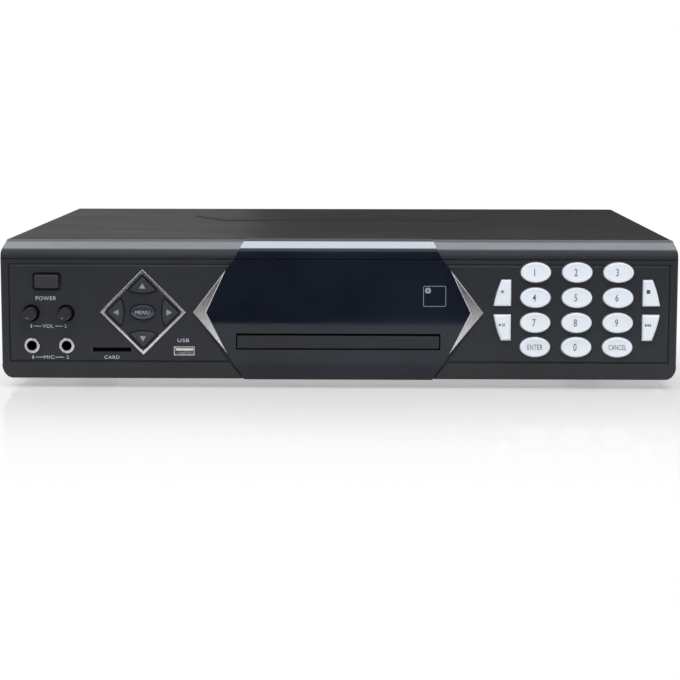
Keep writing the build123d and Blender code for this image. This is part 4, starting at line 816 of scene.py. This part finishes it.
class RepeatTree:
    """A Geometry Nodes tree that sets one shape on each vertex of its input mesh.

    The shape looks along its own +Z, and each vertex turns it to face the vector in
    its "outward" attribute.
    """

    def __init__(self, name: str, sizes: Sequence[str], shape: Shape) -> None:
        """Build the tree.

        Args:
            name: The tree's name.
            sizes: Names of its size inputs.
            shape: Builds the repeated shape from the size sockets.
        """
        self.tree = bpy.data.node_groups.new(name, "GeometryNodeTree")
        kinds = {"Geometry": "Geometry", **dict.fromkeys(sizes, "Float"), "Finish": "Material"}
        for label, kind in kinds.items():
            self.tree.interface.new_socket(label, in_out="INPUT",
                                           socket_type=f"NodeSocket{kind}")
        self.tree.interface.new_socket("Geometry", in_out="OUTPUT",
                                       socket_type="NodeSocketGeometry")
        nodes = NodeBuilder(self.tree)
        entry = nodes.node("NodeGroupInput").outputs
        made = shape(nodes, {label: entry[label] for label in sizes})
        outward = nodes.first("GeometryNodeInputNamedAttribute", {"Name": "outward"},
                              data_type="FLOAT_VECTOR")
        turned = nodes.first("FunctionNodeAlignRotationToVector", {"Vector": outward}, axis="Z")
        spread = nodes.first("GeometryNodeInstanceOnPoints", {
            "Points": entry["Geometry"], "Instance": made, "Rotation": turned})
        real = nodes.first("GeometryNodeRealizeInstances", {"Geometry": spread})
        dressed = nodes.first("GeometryNodeSetMaterial", {"Geometry": real,
                                                          "Material": entry["Finish"]})
        nodes.node("NodeGroupOutput", {"Geometry": dressed})

    def grow(self, name: str, spots: Sequence[tuple[Vector, Vector]], finish: Finish,
             sizes: dict[str, float]) -> Piece:
        """Set the shape at each spot and return the result as one plain mesh.

        Args:
            name: The new piece's name.
            spots: Where each shape goes and which way it looks.
            finish: Its finish.
            sizes: Values for the tree's size inputs.

        Returns:
            The new object.
        """
        seeds = bpy.data.meshes.new(f"{name}_seeds")
        seeds.from_pydata([tuple(place) for place, _ in spots], [], [])
        facing = seeds.attributes.new("outward", "FLOAT_VECTOR", "POINT")
        facing.data.foreach_set("vector", [value for _, way in spots for value in way])
        holder = bpy.data.objects.new(f"{name}_seeds", seeds)
        bpy.context.scene.collection.objects.link(holder)
        modifier = holder.modifiers.new("repeat", "NODES")
        modifier.node_group = self.tree
        values: dict[str, object] = {**sizes, "Finish": finish.material()}
        for item in self.tree.interface.items_tree:
            if item.in_out == "INPUT" and item.name in values:
                modifier[item.identifier] = values[item.name]
        mesh = bpy.data.meshes.new_from_object(
            holder.evaluated_get(bpy.context.evaluated_depsgraph_get()))
        mesh.name = name
        bpy.data.objects.remove(holder)
        bpy.data.meshes.remove(seeds)
        return new_object(name, mesh, finish.material())


def swept(nodes: NodeBuilder, path: Socket, section: Socket, caps: bool = False) -> Socket:
    """Sweep a section along a path and return the mesh."""
    return nodes.first("GeometryNodeCurveToMesh", {"Curve": path, "Profile Curve": section,
                                                   "Fill Caps": caps})


def circle(nodes: NodeBuilder, radius: object, points: int) -> Socket:
    """Return a circle as a curve."""
    return nodes.first("GeometryNodeCurvePrimitiveCircle", {"Resolution": points,
                                                            "Radius": radius})


def moved(nodes: NodeBuilder, shape: Socket, z: Socket) -> Socket:
    """Return a shape moved along Z."""
    return nodes.first("GeometryNodeTransform", {"Geometry": shape,
                                                 "Translation": nodes.vector(z=z)})


def ring_shape(nodes: NodeBuilder, sizes: dict[str, Socket]) -> Socket:
    """Build an oval ring of round wire.

    Args:
        nodes: The tree's node builder.
        sizes: The tree's inputs by name.

    Returns:
        The shape's socket.
    """
    oval = nodes.first("GeometryNodeTransform", {
        "Geometry": circle(nodes, 1.0, 72),
        "Scale": nodes.vector(sizes["Half Width"], sizes["Half Height"], 1.0)})
    return nodes.first("GeometryNodeSetShadeSmooth", {
        "Geometry": swept(nodes, oval, circle(nodes, sizes["Wire Radius"], 10))})


def collar_shape(nodes: NodeBuilder, sizes: dict[str, Socket]) -> Socket:
    """Build a flat collar round a socket, with square edges.

    Args:
        nodes: The tree's node builder.
        sizes: The tree's inputs by name.

    Returns:
        The shape's socket.
    """
    section = nodes.first("GeometryNodeCurvePrimitiveQuadrilateral", {
        "Width": sizes["Band"], "Height": sizes["Thickness"]})
    return swept(nodes, circle(nodes, sizes["Middle Radius"], 48), section, True)


# A screw's crown, its recess's width and reach, and its core, as shares of the head's radius
SCREW_SHARES = (0.72, 0.24, 1.1, 0.45)
RECESS_DEPTH = 1.1


def screw_shape(nodes: NodeBuilder, sizes: dict[str, Socket]) -> Socket:
    """Pan head with a cross recess, on a plain shank below its seat.

    Args:
        nodes: The tree's node builder.
        sizes: The size sockets.

    Returns:
        The screw's geometry.
    """
    radius, height = sizes["Head Radius"], sizes["Head Height"]
    crown, width, reach, core = (nodes.math("MULTIPLY", radius, share)
                                 for share in SCREW_SHARES)
    deep = nodes.math("MULTIPLY", height, RECESS_DEPTH)
    head = nodes.first("GeometryNodeMeshCone", {
        "Vertices": 28, "Radius Top": crown, "Radius Bottom": radius, "Depth": height})
    cut = nodes.node("GeometryNodeMeshBoolean", {"Mesh 1": head}, operation="DIFFERENCE",
                     solver="EXACT")
    for across, along in ((width, reach), (reach, width)):
        arm = nodes.first("GeometryNodeMeshCube", {"Size": nodes.vector(across, along, deep)})
        nodes.feed(cut, {"Mesh 2": moved(nodes, arm, height)})
    shank = nodes.first("GeometryNodeMeshCylinder", {"Vertices": 20, "Radius": core,
                                                     "Depth": sizes["Shank"]})
    joined = nodes.node("GeometryNodeJoinGeometry", {0: cut.outputs[0]})
    nodes.feed(joined, {0: moved(nodes, shank, nodes.math("MULTIPLY", sizes["Shank"], -0.5))})
    return joined.outputs[0]


def strip_shape(nodes: NodeBuilder, sizes: dict[str, Socket]) -> Socket:
    """Flat contact strip."""
    size = nodes.vector(sizes["Width"], sizes["Length"], sizes["Thickness"])
    return nodes.first("GeometryNodeMeshCube", {"Size": size})


def thread_shape(nodes: NodeBuilder, sizes: dict[str, Socket]) -> Socket:
    """Build a screw thread: a spiral of round wire up the shape's own Z.

    Args:
        nodes: The tree's node builder.
        sizes: The tree's inputs by name.

    Returns:
        The shape's socket.
    """
    spiral = nodes.first("GeometryNodeCurveSpiral", {
        "Resolution": 24, "Rotations": sizes["Turns"], "Start Radius": sizes["Radius"],
        "End Radius": sizes["Radius"], "Height": sizes["Height"]})
    return nodes.first("GeometryNodeSetShadeSmooth", {
        "Geometry": swept(nodes, spiral, circle(nodes, sizes["Wire Radius"], 6), True)})


# ---------------------------------------------------------------- sub-assemblies
def dress_nodes(nodes: dict[str, Piece], record: dict) -> None:
    """Give every CAD node the finish of its material slot.

    Args:
        nodes: The CAD nodes' objects by name.
        record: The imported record.
    """
    finishes = {**FINISHES, **split_finishes()}
    special = {"mic_board": microphone_finish()}
    slots = {part["node"]: Slot(part["material_slot"]) for part in record["subparts"]}
    for name, node in nodes.items():
        finish = special.get(name) or finishes[slots[name]]
        node.data.materials.clear()
        node.data.materials.append(finish.material())
        LOG.info("%s is finished as %s", name, finish.name)


@dataclass
class FrontLettering:
    """Printed names of the controls on the front panel, and the dashes beside them.

    Attributes:
        base: The front panel's underside.
        dash_line: Thickness of the dashes.
        words: Each name with its x, its height above the base, its width and its height, in mm.
        dashes: Each dash's start, end and height above the base, in mm.
    """

    base: float
    dash_line: float = 0.35
    words: tuple[tuple[str, float, float, float, float], ...] = (
        ("POWER", -186.1, 52.2, 13.0, 2.5),
        ("1", -195.7, 34.3, 0.9, 2.1), ("VOL", -185.0, 34.3, 7.0, 2.2),
        ("2", -173.9, 34.3, 1.5, 2.1),
        ("1", -194.9, 14.3, 0.9, 2.1), ("MIC", -184.6, 14.3, 6.6, 2.2),
        ("2", -172.8, 14.3, 1.5, 2.1),
        ("CARD", -144.4, 14.4, 9.6, 2.2), ("USB", -98.7, 25.4, 7.4, 2.3))
    dashes: tuple[Point3, ...] = (
        (-194.3, -189.4, 34.3), (-180.5, -175.4, 34.3),
        (-193.3, -188.5, 14.3), (-180.6, -175.2, 14.3))

    def build(self) -> None:
        """Print the lettering on the panel."""
        flats = [(lettering(words, width * MM, height * MM), (x * MM, self.base + z * MM))
                 for words, x, z, width, height in self.words]
        line = self.dash_line / 2
        for start, end, z in self.dashes:
            half = (end - start) / 2
            flats.append((polygons([bar(-half, -line, half, line)], MM),
                          ((start + end) / 2 * MM, self.base + z * MM)))
        Printer("front_panel").lay(flats, "control_names", INK, "cabinet")


ARROWHEAD = ((-1.7, -0.8), (-0.3, 0.0), (-1.7, 0.8))
SIGNS = {
    "eject": (((-1.0, -0.25), (1.0, -0.25), (0.0, 0.85)), bar(-1.0, -0.85, 1.0, -0.55)),
    "play": (ARROWHEAD, bar(0.13, -0.8, 0.57, 0.8), bar(0.93, -0.8, 1.37, 0.8)),
    "stop": (bar(-1.0, -1.0, 1.0, 1.0),),
    "next": (ARROWHEAD, ((-0.3, -0.8), (1.0, 0.0), (-0.3, 0.8)), bar(0.93, -0.8, 1.37, 0.8)),
}


@dataclass
class Keypad:
    """Legends on the silver keys and the bright edges of their openings.

    Attributes:
        face: The front panel's foremost Y.
        digit_narrow: Share of a digit's own width that is kept.
        digit_shift: How far the digits stand from their keys' middles, along X.
        bold: How far the strokes grow, in ems.
        fold: Longest edge of a legend on a domed key.
        sign: Half the size of a side key's sign.
        oval: Half width and half height of an opening's rim.
        rim_proud: How far the rim's middle stands before the face.
        lift: How far a legend stands proud.
        shifts: Places of the side keys' signs from their keys' middles.
    """

    face: float
    digit_height: float = 4.7 * MM
    digit_narrow: float = 0.68
    digit_shift: float = -0.8 * MM
    word_height: float = 3.4 * MM
    bold: float = 0.004
    fold: float = 0.45 * MM
    sign: float = 1.2 * MM
    oval: Point2 = (10.35 * MM, 7.05 * MM)
    rim_wire: float = 0.32 * MM
    rim_proud: float = 0.02 * MM
    lift: float = 0.00003
    word_widths: dict[str, float] = field(
        default_factory=lambda: {"enter": 9.6 * MM, "cancel": 11.2 * MM})
    shifts: dict[str, Point2] = field(default_factory=lambda: {
        "eject": (0.0, 1.0 * MM), "play": (0.0, 1.8 * MM),
        "stop": (-2.3 * MM, 1.0 * MM), "next": (-2.0 * MM, 1.8 * MM)})

    def build(self) -> None:
        """Print every legend and set the rims."""
        digits = [str(number) for number in range(10)]
        for label in digits:
            flat = lettering(label, 0.0, self.digit_height, self.bold)
            for vertex in flat.verts:
                vertex.co.x = vertex.co.x * self.digit_narrow + self.digit_shift
            self._print(f"key_{label}", flat, self.fold)
        for label, width in self.word_widths.items():
            flat = lettering(label.upper(), width, self.word_height, self.bold)
            self._print(f"key_{label}", flat, self.fold)
        for label, shift in self.shifts.items():
            flat = polygons(SIGNS[label], self.sign)
            bmesh.ops.translate(flat, verts=flat.verts, vec=(*shift, 0.0))
            self._print(f"key_{label}", flat, 0.0)
        spots = []
        for label in digits + list(self.word_widths):
            at = middle(f"key_{label}")
            spots.append((Vector((at.x, self.face - self.rim_proud, at.z)), FORWARD))
        rims = RepeatTree("opening_rims", ("Half Width", "Half Height", "Wire Radius"),
                          ring_shape)
        made = rims.grow("key_opening_rims", spots, FINISHES[Slot.POWER], {
            "Half Width": self.oval[0], "Half Height": self.oval[1],
            "Wire Radius": self.rim_wire})
        settle(made, "cabinet")

    def _print(self, key: str, flat: Flat, step: float) -> None:
        """Print one legend on its key.

        Args:
            key: Name of the key.
            flat: The legend's work mesh.
            step: Longest edge of the ink's mesh, in metres, or 0 on a flat face.
        """
        at = middle(key)
        Printer(key, lift=self.lift, step=step).lay(
            [(flat, (at.x, at.z))], f"{key}_legend", LEGEND_INK, key)


@dataclass
class ArrowPad:
    """Prints of the diamond's arrow keys and of its menu key.

    Attributes:
        reach: Distance of each arrow from the diamond's middle.
        arrow: Half base and half height of an arrow.
        menu: Width and height of the menu lettering.
        fold: Longest edge of the lettering on the domed menu key.
    """

    reach: float = 17.0 * MM
    arrow: Point2 = (1.95 * MM, 1.75 * MM)
    menu: Point2 = (9.0 * MM, 2.3 * MM)
    menu_bold: float = -0.01
    fold: float = 0.5 * MM

    def build(self) -> None:
        """Print the arrows and the menu key."""
        centre = middle("key_menu")
        half, tall = self.arrow
        for name, turn in (("up", 0), ("left", 90), ("down", 180), ("right", 270)):
            spin = Matrix.Rotation(math.radians(turn), 2)
            points = [tuple(spin @ Vector(point))
                      for point in ((-half, -tall), (half, -tall), (0.0, tall))]
            way = spin @ Vector((0.0, self.reach))
            Printer(f"key_{name}").lay(
                [(polygons([points]), (centre.x + way.x, centre.z + way.y))],
                f"key_{name}_arrow", SENSOR_INK, f"key_{name}")
        words = lettering("MENU", *self.menu, self.menu_bold)
        Printer("key_menu", step=self.fold).lay(
            [(words, (centre.x, centre.z))], "key_menu_legend", INK, "key_menu")


@dataclass
class FasciaPrint:
    """Silver frame of the remote sensor's window, printed on the fascia.

    Attributes:
        base: The front panel's underside.
        at: Middle of the window, as x and height above the base.
        corner: Radius of its corners.
        badge: Side of the small square in its corner.
        badge_line: Line and corner radius of that square.
        inset: Distance of the square from the frame's edges.
    """

    base: float
    at: Point2 = (61.2 * MM, 54.2 * MM)
    size: Point2 = (14.4 * MM, 13.2 * MM)
    line: float = 0.32 * MM
    corner: float = 1.0 * MM
    badge: float = 3.7 * MM
    badge_line: float = 1.4 * MM
    inset: float = 1.1 * MM

    def build(self) -> None:
        """Print the frame and its square."""
        x, z = self.at[0], self.base + self.at[1]
        place = (x - self.size[0] / 2 + self.badge / 2 + self.inset,
                 z + self.size[1] / 2 - self.badge / 2 - self.inset)
        flats = [(rounded_frame(*self.size, self.line, self.corner), (x, z)),
                 (rounded_frame(self.badge, self.badge, self.badge_line, self.badge_line),
                  place)]
        Printer("centre_fascia").lay(flats, "sensor_window_print", SENSOR_INK, "cabinet")


@dataclass
class KnobPointers:
    """Small pale pointer dots on the volume knobs.

    Attributes:
        reach: Distance of a dot from the knob's axis.
        direction: Where the dot is, in degrees from the right, anticlockwise.
    """

    reach: float = 2.9 * MM
    radius: float = 0.32 * MM
    direction: float = 238.0
    sides: int = 16

    def build(self) -> None:
        """Print a dot on each knob."""
        turn = math.radians(self.direction)
        loop = [(math.cos(math.tau * k / self.sides), math.sin(math.tau * k / self.sides))
                for k in range(self.sides)]
        for name in ("volume_knob_1", "volume_knob_2"):
            at = middle(name)
            place = (at.x + self.reach * math.cos(turn), at.z + self.reach * math.sin(turn))
            Printer(name).lay([(polygons([loop], self.radius), place)], f"{name}_pointer",
                              INK, name)


@dataclass
class Sockets:
    """Contacts in the front USB port, and collars and names on the rear.

    Attributes:
        rear: The rear panel's outer Y.
        pitch: Distance between the columns of rear sockets.
        first: X of the first column.
        rows: Heights of the two rows above the floor.
        collars: Each colour with the columns and rows of its collars.
        port: X of the USB port, depth of its contacts' middle and their drop from its top.
        contact: Width, length and thickness of a contact.
        names: Each name with its x and z, its width and its height, in mm.
    """

    rear: float
    pitch: float = 20.0 * MM
    first: float = 95.0 * MM
    rows: Point2 = (38.0 * MM, 58.0 * MM)
    collar_radius: float = 4.9 * MM
    collar_band: float = 1.4 * MM
    collar_thick: float = 1.1 * MM
    collars: tuple[tuple[str, Colour, tuple[tuple[int, int], ...]], ...] = (
        ("yellow", (0.75, 0.48, 0.03), ((4, 1), (4, 0))),
        ("white", (0.72, 0.71, 0.68), ((0, 1), (1, 1), (2, 1), (3, 1))),
        ("red", (0.50, 0.02, 0.02), ((0, 0), (1, 0), (2, 0), (3, 0))))
    port: Point3 = (-98.2 * MM, 6.5 * MM, 3.4 * MM)
    contact: Point3 = (1.1 * MM, 9.0 * MM, 0.25 * MM)
    contact_pitch: float = 2.5 * MM
    names: tuple[tuple[str, float, float, float, float], ...] = (
        ("VIDEO", 175.0, 68.5, 8.0, 2.2), ("COAXIAL", 175.0, 27.5, 10.5, 2.2),
        *(("L", 95.0 + 20.0 * column, 68.5, 1.6, 2.2) for column in range(4)),
        *(("R", 95.0 + 20.0 * column, 27.5, 1.8, 2.2) for column in range(4)),
        ("AUDIO OUT", 125.0, 75.0, 17.0, 2.4), ("AC INPUT", -170.0, 52.0, 15.0, 2.4))

    def build(self) -> None:
        """Set the collars and contacts and print the names."""
        tree = RepeatTree("socket_collars", ("Middle Radius", "Band", "Thickness"),
                          collar_shape)
        for name, colour, places in self.collars:
            spots = [(Vector((self.first + column * self.pitch,
                              self.rear + self.collar_thick / 2, self.rows[row])), BACKWARD)
                     for column, row in places]
            made = tree.grow(f"socket_collars_{name}", spots,
                             Finish(f"collar_{name}", colour, roughness=0.36), {
                                 "Middle Radius": self.collar_radius,
                                 "Band": self.collar_band, "Thickness": self.collar_thick})
            settle(made, "cabinet")
        low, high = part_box("media_module")
        x, y, drop = self.port
        spots = [(Vector((x + (index - 1.5) * self.contact_pitch, low.y + y, high.z - drop)),
                  UPWARD) for index in range(4)]
        labels = ("Width", "Length", "Thickness")
        strips = RepeatTree("contact_strips", labels, strip_shape)
        settle(strips.grow("usb_contacts", spots, GOLD, dict(zip(labels, self.contact))),
               "cabinet")
        flats = [(lettering(words, width * MM, height * MM), (x * MM, z * MM))
                 for words, x, z, width, height in self.names]
        Printer("rear_panel", side=Side.REAR).lay(flats, "rear_names", INK, "cabinet")


@dataclass
class Fasteners:
    """Cross-recess screws in place of the plain ones.

    Attributes:
        weld: Distance at which a screw's points count as one.
        rim_share: Share of a head's radius beyond which a point is on its rim.
        decimals: Decimals to which screws count as the same size.
    """

    weld: float = 0.00001
    rim_share: float = 0.95
    decimals: int = 5

    def _islands(self) -> list[list[Vector]]:
        """Split the plain screws' mesh into its separate solids.

        Returns:
            The points of each solid.
        """
        work = bmesh.new()
        work.from_mesh(bpy.data.objects["screws"].data)
        bmesh.ops.remove_doubles(work, verts=work.verts, dist=self.weld)
        work.verts.index_update()
        seen: set[int] = set()
        found: list[list[Vector]] = []
        for start in work.verts:
            if start.index in seen:
                continue
            seen.add(start.index)
            queue, points = [start], []
            while queue:
                vertex = queue.pop()
                points.append(vertex.co.copy())
                for edge in vertex.link_edges:
                    other = edge.other_vert(vertex)
                    if other.index not in seen:
                        seen.add(other.index)
                        queue.append(other)
            found.append(points)
        work.free()
        return found

    def _measure(self, points: list[Vector]) -> tuple[Point3, Vector, Vector]:
        """Find a plain screw's sizes and place.

        Args:
            points: The screw's points.

        Returns:
            Its head's radius and height and its shank's length, its seat and its outward way.
        """
        low, high = (Vector([end(p[i] for p in points) for i in range(3)])
                     for end in (min, max))
        size, centre = high - low, (low + high) / 2
        axis = max(range(3), key=lambda i: abs(size[i] - sorted(size)[1]))
        across = [i for i in range(3) if i != axis]
        wide = max(size[i] for i in across) / 2
        rim = [p[axis] for p in points
               if math.hypot(*(p[i] - centre[i] for i in across)) > wide * self.rim_share]
        way = 1 if (min(rim) + max(rim)) / 2 > centre[axis] else -1
        outward, place = Vector((0.0, 0.0, 0.0)), centre.copy()
        outward[axis], place[axis] = way, min(rim) if way > 0 else max(rim)
        tall = max(rim) - min(rim)
        sizes = tuple(round(value, self.decimals) for value in (wide, tall, size[axis] - tall))
        return sizes, place, outward

    def build(self) -> None:
        """Replace the plain screws."""
        heads: dict[Point3, list[tuple[Vector, Vector]]] = {}
        for points in self._islands():
            sizes, place, outward = self._measure(points)
            heads.setdefault(sizes, []).append((place, outward))
        labels = ("Head Radius", "Head Height", "Shank")
        tree = RepeatTree("cross_screws", labels, screw_shape)
        joined = bmesh.new()
        for sizes, spots in heads.items():
            part = tree.grow("screw_set", spots, FINISHES[Slot.SCREW], dict(zip(labels, sizes)))
            joined.from_mesh(part.data)
            bpy.data.objects.remove(part)
        made = new_object("cross_screws", from_bmesh(joined, "cross_screws"),
                          FINISHES[Slot.SCREW].material())
        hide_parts("screws")
        settle(made, "cabinet")


@dataclass
class DiscDrive:
    """Details of the drive: the pick-up's lens, and the lead screw's thread.

    Attributes:
        thread_pitch: Advance of the thread in one turn.
        ends: Bare lengths before and behind the thread.
        lens_dome: Height of the lens as a share of its radius.
        lens_sink: How deep its middle lies in the sled's top.
    """

    thread_pitch: float = 3.0 * MM
    ends: Point2 = (11.0 * MM, 6.0 * MM)
    thread_radius: float = 1.6 * MM
    thread_wire: float = 0.38 * MM
    lens_radius: float = 1.9 * MM
    lens_dome: float = 0.28
    lens_y: float = -50.0 * MM
    lens_sink: float = 0.1 * MM

    def build(self) -> None:
        """Wind the thread and set a small glass dome in the pick-up."""
        low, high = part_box("lead_screw")
        start, end = low.y + self.ends[0], high.y - self.ends[1]
        axis = middle("lead_screw")
        tree = RepeatTree("screw_thread", ("Turns", "Radius", "Height", "Wire Radius"),
                          thread_shape)
        made = tree.grow("lead_screw_thread", [(Vector((axis.x, start, axis.z)), BACKWARD)],
                         FINISHES[Slot.ROD], {
                             "Turns": (end - start) / self.thread_pitch,
                             "Radius": self.thread_radius, "Height": end - start,
                             "Wire Radius": self.thread_wire})
        settle(made, "lead_screw")
        work = bmesh.new()
        bmesh.ops.create_uvsphere(work, u_segments=32, v_segments=12, radius=self.lens_radius)
        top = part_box("laser_sled")[1].z - self.lens_sink
        centre = Vector((middle("laser_sled").x, self.lens_y, top))
        for vertex in work.verts:
            vertex.co = centre + Vector((vertex.co.x, vertex.co.y,
                                         vertex.co.z * self.lens_dome))
        for face in work.faces:
            face.smooth = True
        settle(new_object("pickup_lens", from_bmesh(work, "pickup_lens"), GLASS.material()),
               "sled")


# ---------------------------------------------------------------- studio
@dataclass(frozen=True)
class Softbox:
    """A soft light that hangs at a place and points at another."""

    name: str
    at: Point3
    aim: Point3
    size: Point2
    radiance: float
    colour: Colour = (1.0, 1.0, 1.0)

    def build(self) -> None:
        """Hang the light."""
        data = bpy.data.lights.new(self.name, "AREA")
        data.shape, data.size, data.size_y = "RECTANGLE", *self.size
        data.energy = self.radiance * math.pi * self.size[0] * self.size[1]
        data.color = self.colour
        lamp = bpy.data.objects.new(self.name, data)
        lamp.location = self.at
        way = Vector(self.aim) - Vector(self.at)
        lamp.rotation_euler = way.to_track_quat("-Z", "Y").to_euler()
        lamp.visible_camera = False
        bpy.context.scene.collection.objects.link(lamp)


LIGHTS = (
    Softbox("rear_strip", (0.0, 1.35, 1.22), (0.0, -0.12, 0.09), (3.0, 0.5), 3.3,
            (0.80, 0.88, 1.0)),
    Softbox("top_box", (0.0, -1.0, 1.5), (0.0, -0.12, 0.05), (1.8, 0.9), 4.1),
    Softbox("side_box_left", (-1.55, -1.25, 0.55), (0.0, -0.12, 0.05), (0.8, 0.8), 1.8),
    Softbox("side_box_right", (1.55, -1.25, 0.55), (0.0, -0.12, 0.05), (0.8, 0.8), 2.3))


@dataclass
class Studio:
    """Floor, lights, dark cards and camera round the machine.

    Attributes:
        face: The machine's front Y.
        rear: The machine's rear Y.
        half: Half the machine's width.
        fade: How far before the machine the floor's shadow and shine end.
        fade_near: How far behind and beside it they end.
        inset: How far inside the machine's sides their fade starts.
        shine: Share of shine in the floor at the machine's front.
        hold: Share of the floor that is seen there; the rest is white.
        card_gap: Distance of the front card from the machine.
        front_card: X of its left edge and its top.
        rear_card: X of its left edge, its top and its Y.
        world_fill: Strength with which the white world lights the scene.
        pitch, yaw, roll: How far the camera looks down, turns left and leans, in degrees.
        axis_pixel: Where its axis meets the picture, in pixels.
    """

    face: float
    rear: float
    half: float
    floor_size: float = 6.0
    floor_tone: float = 0.9
    floor_rough: float = 0.06
    fade: float = 0.28
    fade_near: float = 0.05
    inset: float = 0.01
    shine: float = 0.28
    hold: float = 0.66
    card_gap: float = 0.288
    card_right: float = 1.6
    card_foot: float = 0.001
    front_card: Point2 = (-1.6, 1.3)
    rear_card: Point3 = (-0.13, 0.52, 0.9)
    world_fill: float = 0.3
    camera_at: Point3 = (0.0183, -1.1735, 0.1931)
    pitch: float = 6.125
    yaw: float = 0.95
    roll: float = 0.04
    focal_pixels: float = 1640.0
    frame_pixels: float = 680.0
    axis_pixel: Point2 = (340.0, 262.0)

    def floor(self) -> None:
        """Lay a pale floor whose shadow and shine fade away from the machine's front."""
        far = self.floor_size
        mesh = bpy.data.meshes.new("floor")
        mesh.from_pydata([(x, y, 0.0) for x, y in bar(-far, -far, far, far)], [],
                         [(0, 1, 2, 3)])
        material = bpy.data.materials.new("floor_card")
        material.use_nodes = True
        material.node_tree.nodes.clear()
        nodes = NodeBuilder(material.node_tree)
        place = nodes.place()
        x, y = nodes.split(place, 0), nodes.split(place, 1)
        share, before = (nodes.ranged(y, 0.0, level, self.face - self.fade, self.face)
                         for level in (self.shine, self.hold))
        behind = nodes.ranged(y, 1.0, 0.0, self.rear - self.fade_near, self.rear)
        beside = nodes.ranged(nodes.math("ABSOLUTE", x), 1.0, 0.0, self.half - self.inset,
                              self.half + self.fade_near)
        near = nodes.math("MULTIPLY", before, nodes.math("MULTIPLY", behind, beside))
        path = nodes.node("ShaderNodeLightPath").outputs
        seen = nodes.math("MAXIMUM", path["Is Diffuse Ray"], near)
        tone = rgba((self.floor_tone,) * 3)
        matt = nodes.first("ShaderNodeBsdfDiffuse", {"Color": tone})
        glossy = nodes.first("ShaderNodeBsdfGlossy", {"Color": tone,
                                                      "Roughness": self.floor_rough})
        card = nodes.first("ShaderNodeMixShader", {0: share, 1: matt, 2: glossy})
        clear = nodes.first("ShaderNodeBsdfTransparent")
        faded = nodes.first("ShaderNodeMixShader", {0: seen, 1: clear, 2: card})
        nodes.node("ShaderNodeOutputMaterial", {"Surface": faded})
        new_object("floor", mesh, material)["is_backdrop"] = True

    def dark_cards(self) -> None:
        """Stand dark cards before and behind the machine, seen only in its reflections."""
        material = bpy.data.materials.new("dark_cloth")
        material.use_nodes = True
        NodeBuilder(material.node_tree).feed(material.node_tree.nodes["Principled BSDF"], {
            "Base Color": (0.01, 0.01, 0.012, 1.0), "Specular IOR Level": 0.0,
            "Roughness": 1.0})
        rear_left, rear_top, rear_y = self.rear_card
        for name, y, left, top in (
                ("front_card", self.face - self.card_gap, *self.front_card),
                ("rear_card", rear_y, rear_left, rear_top)):
            mesh = bpy.data.meshes.new(name)
            mesh.from_pydata([(x, y, z) for x, z in bar(left, self.card_foot,
                                                        self.card_right, top)],
                             [], [(0, 1, 2, 3)])
            card = new_object(name, mesh, material)
            card.visible_camera = card.visible_diffuse = False
            card.visible_shadow = card.visible_transmission = False
            card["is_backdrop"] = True

    def world(self) -> None:
        """Surround the scene with white that lights it only softly."""
        world = bpy.data.worlds.new("studio_white")
        bpy.context.scene.world = world
        world.use_nodes = True
        world.node_tree.nodes.clear()
        nodes = NodeBuilder(world.node_tree)
        path = nodes.node("ShaderNodeLightPath").outputs
        seen = nodes.math("MAXIMUM", path["Is Camera Ray"],
                          nodes.math("MAXIMUM", path["Is Glossy Ray"],
                                     path["Is Transmission Ray"]))
        back = nodes.first("ShaderNodeBackground", {
            "Color": (1.0, 1.0, 1.0, 1.0),
            "Strength": nodes.ranged(seen, self.world_fill, 1.0)})
        nodes.node("ShaderNodeOutputWorld", {"Surface": back})

    def camera(self) -> None:
        """Set up the camera."""
        data = bpy.data.cameras.new("camera")
        data.sensor_width = 36.0
        data.lens = self.focal_pixels / self.frame_pixels * data.sensor_width
        data.shift_x = (self.frame_pixels / 2 - self.axis_pixel[0]) / self.frame_pixels
        data.shift_y = (self.axis_pixel[1] - self.frame_pixels / 2) / self.frame_pixels
        data.clip_start, data.clip_end = 0.01, 30.0
        holder = bpy.data.objects.new("camera", data)
        turn = (Matrix.Rotation(math.radians(self.yaw), 4, "Z")
                @ Matrix.Rotation(math.radians(90.0 - self.pitch), 4, "X")
                @ Matrix.Rotation(math.radians(self.roll), 4, "Z"))
        holder.matrix_world = Matrix.Translation(self.camera_at) @ turn
        bpy.context.scene.collection.objects.link(holder)
        bpy.context.scene.camera = holder

    def build(self) -> None:
        """Build the whole studio."""
        self.camera()
        self.floor()
        self.dark_cards()
        for light in LIGHTS:
            light.build()
        self.world()
        bpy.context.scene.view_settings.view_transform = "Standard"


def main() -> None:
    """Build the machine's looks and its studio."""
    logging.basicConfig(level=logging.INFO, format="%(name)s: %(message)s")
    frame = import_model()
    cad_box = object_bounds()
    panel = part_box("front_panel")[0]
    dress_nodes(frame["nodes"], frame["record"])
    for assembly in (FrontLettering(panel.z), Keypad(panel.y), ArrowPad(),
                     FasciaPrint(panel.z), KnobPointers(), Sockets(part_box("rear_panel")[1].y),
                     Fasteners(), DiscDrive(), Studio(panel.y, cad_box[1][1], cad_box[1][0])):
        assembly.build()


if __name__ == "__main__":
    main()
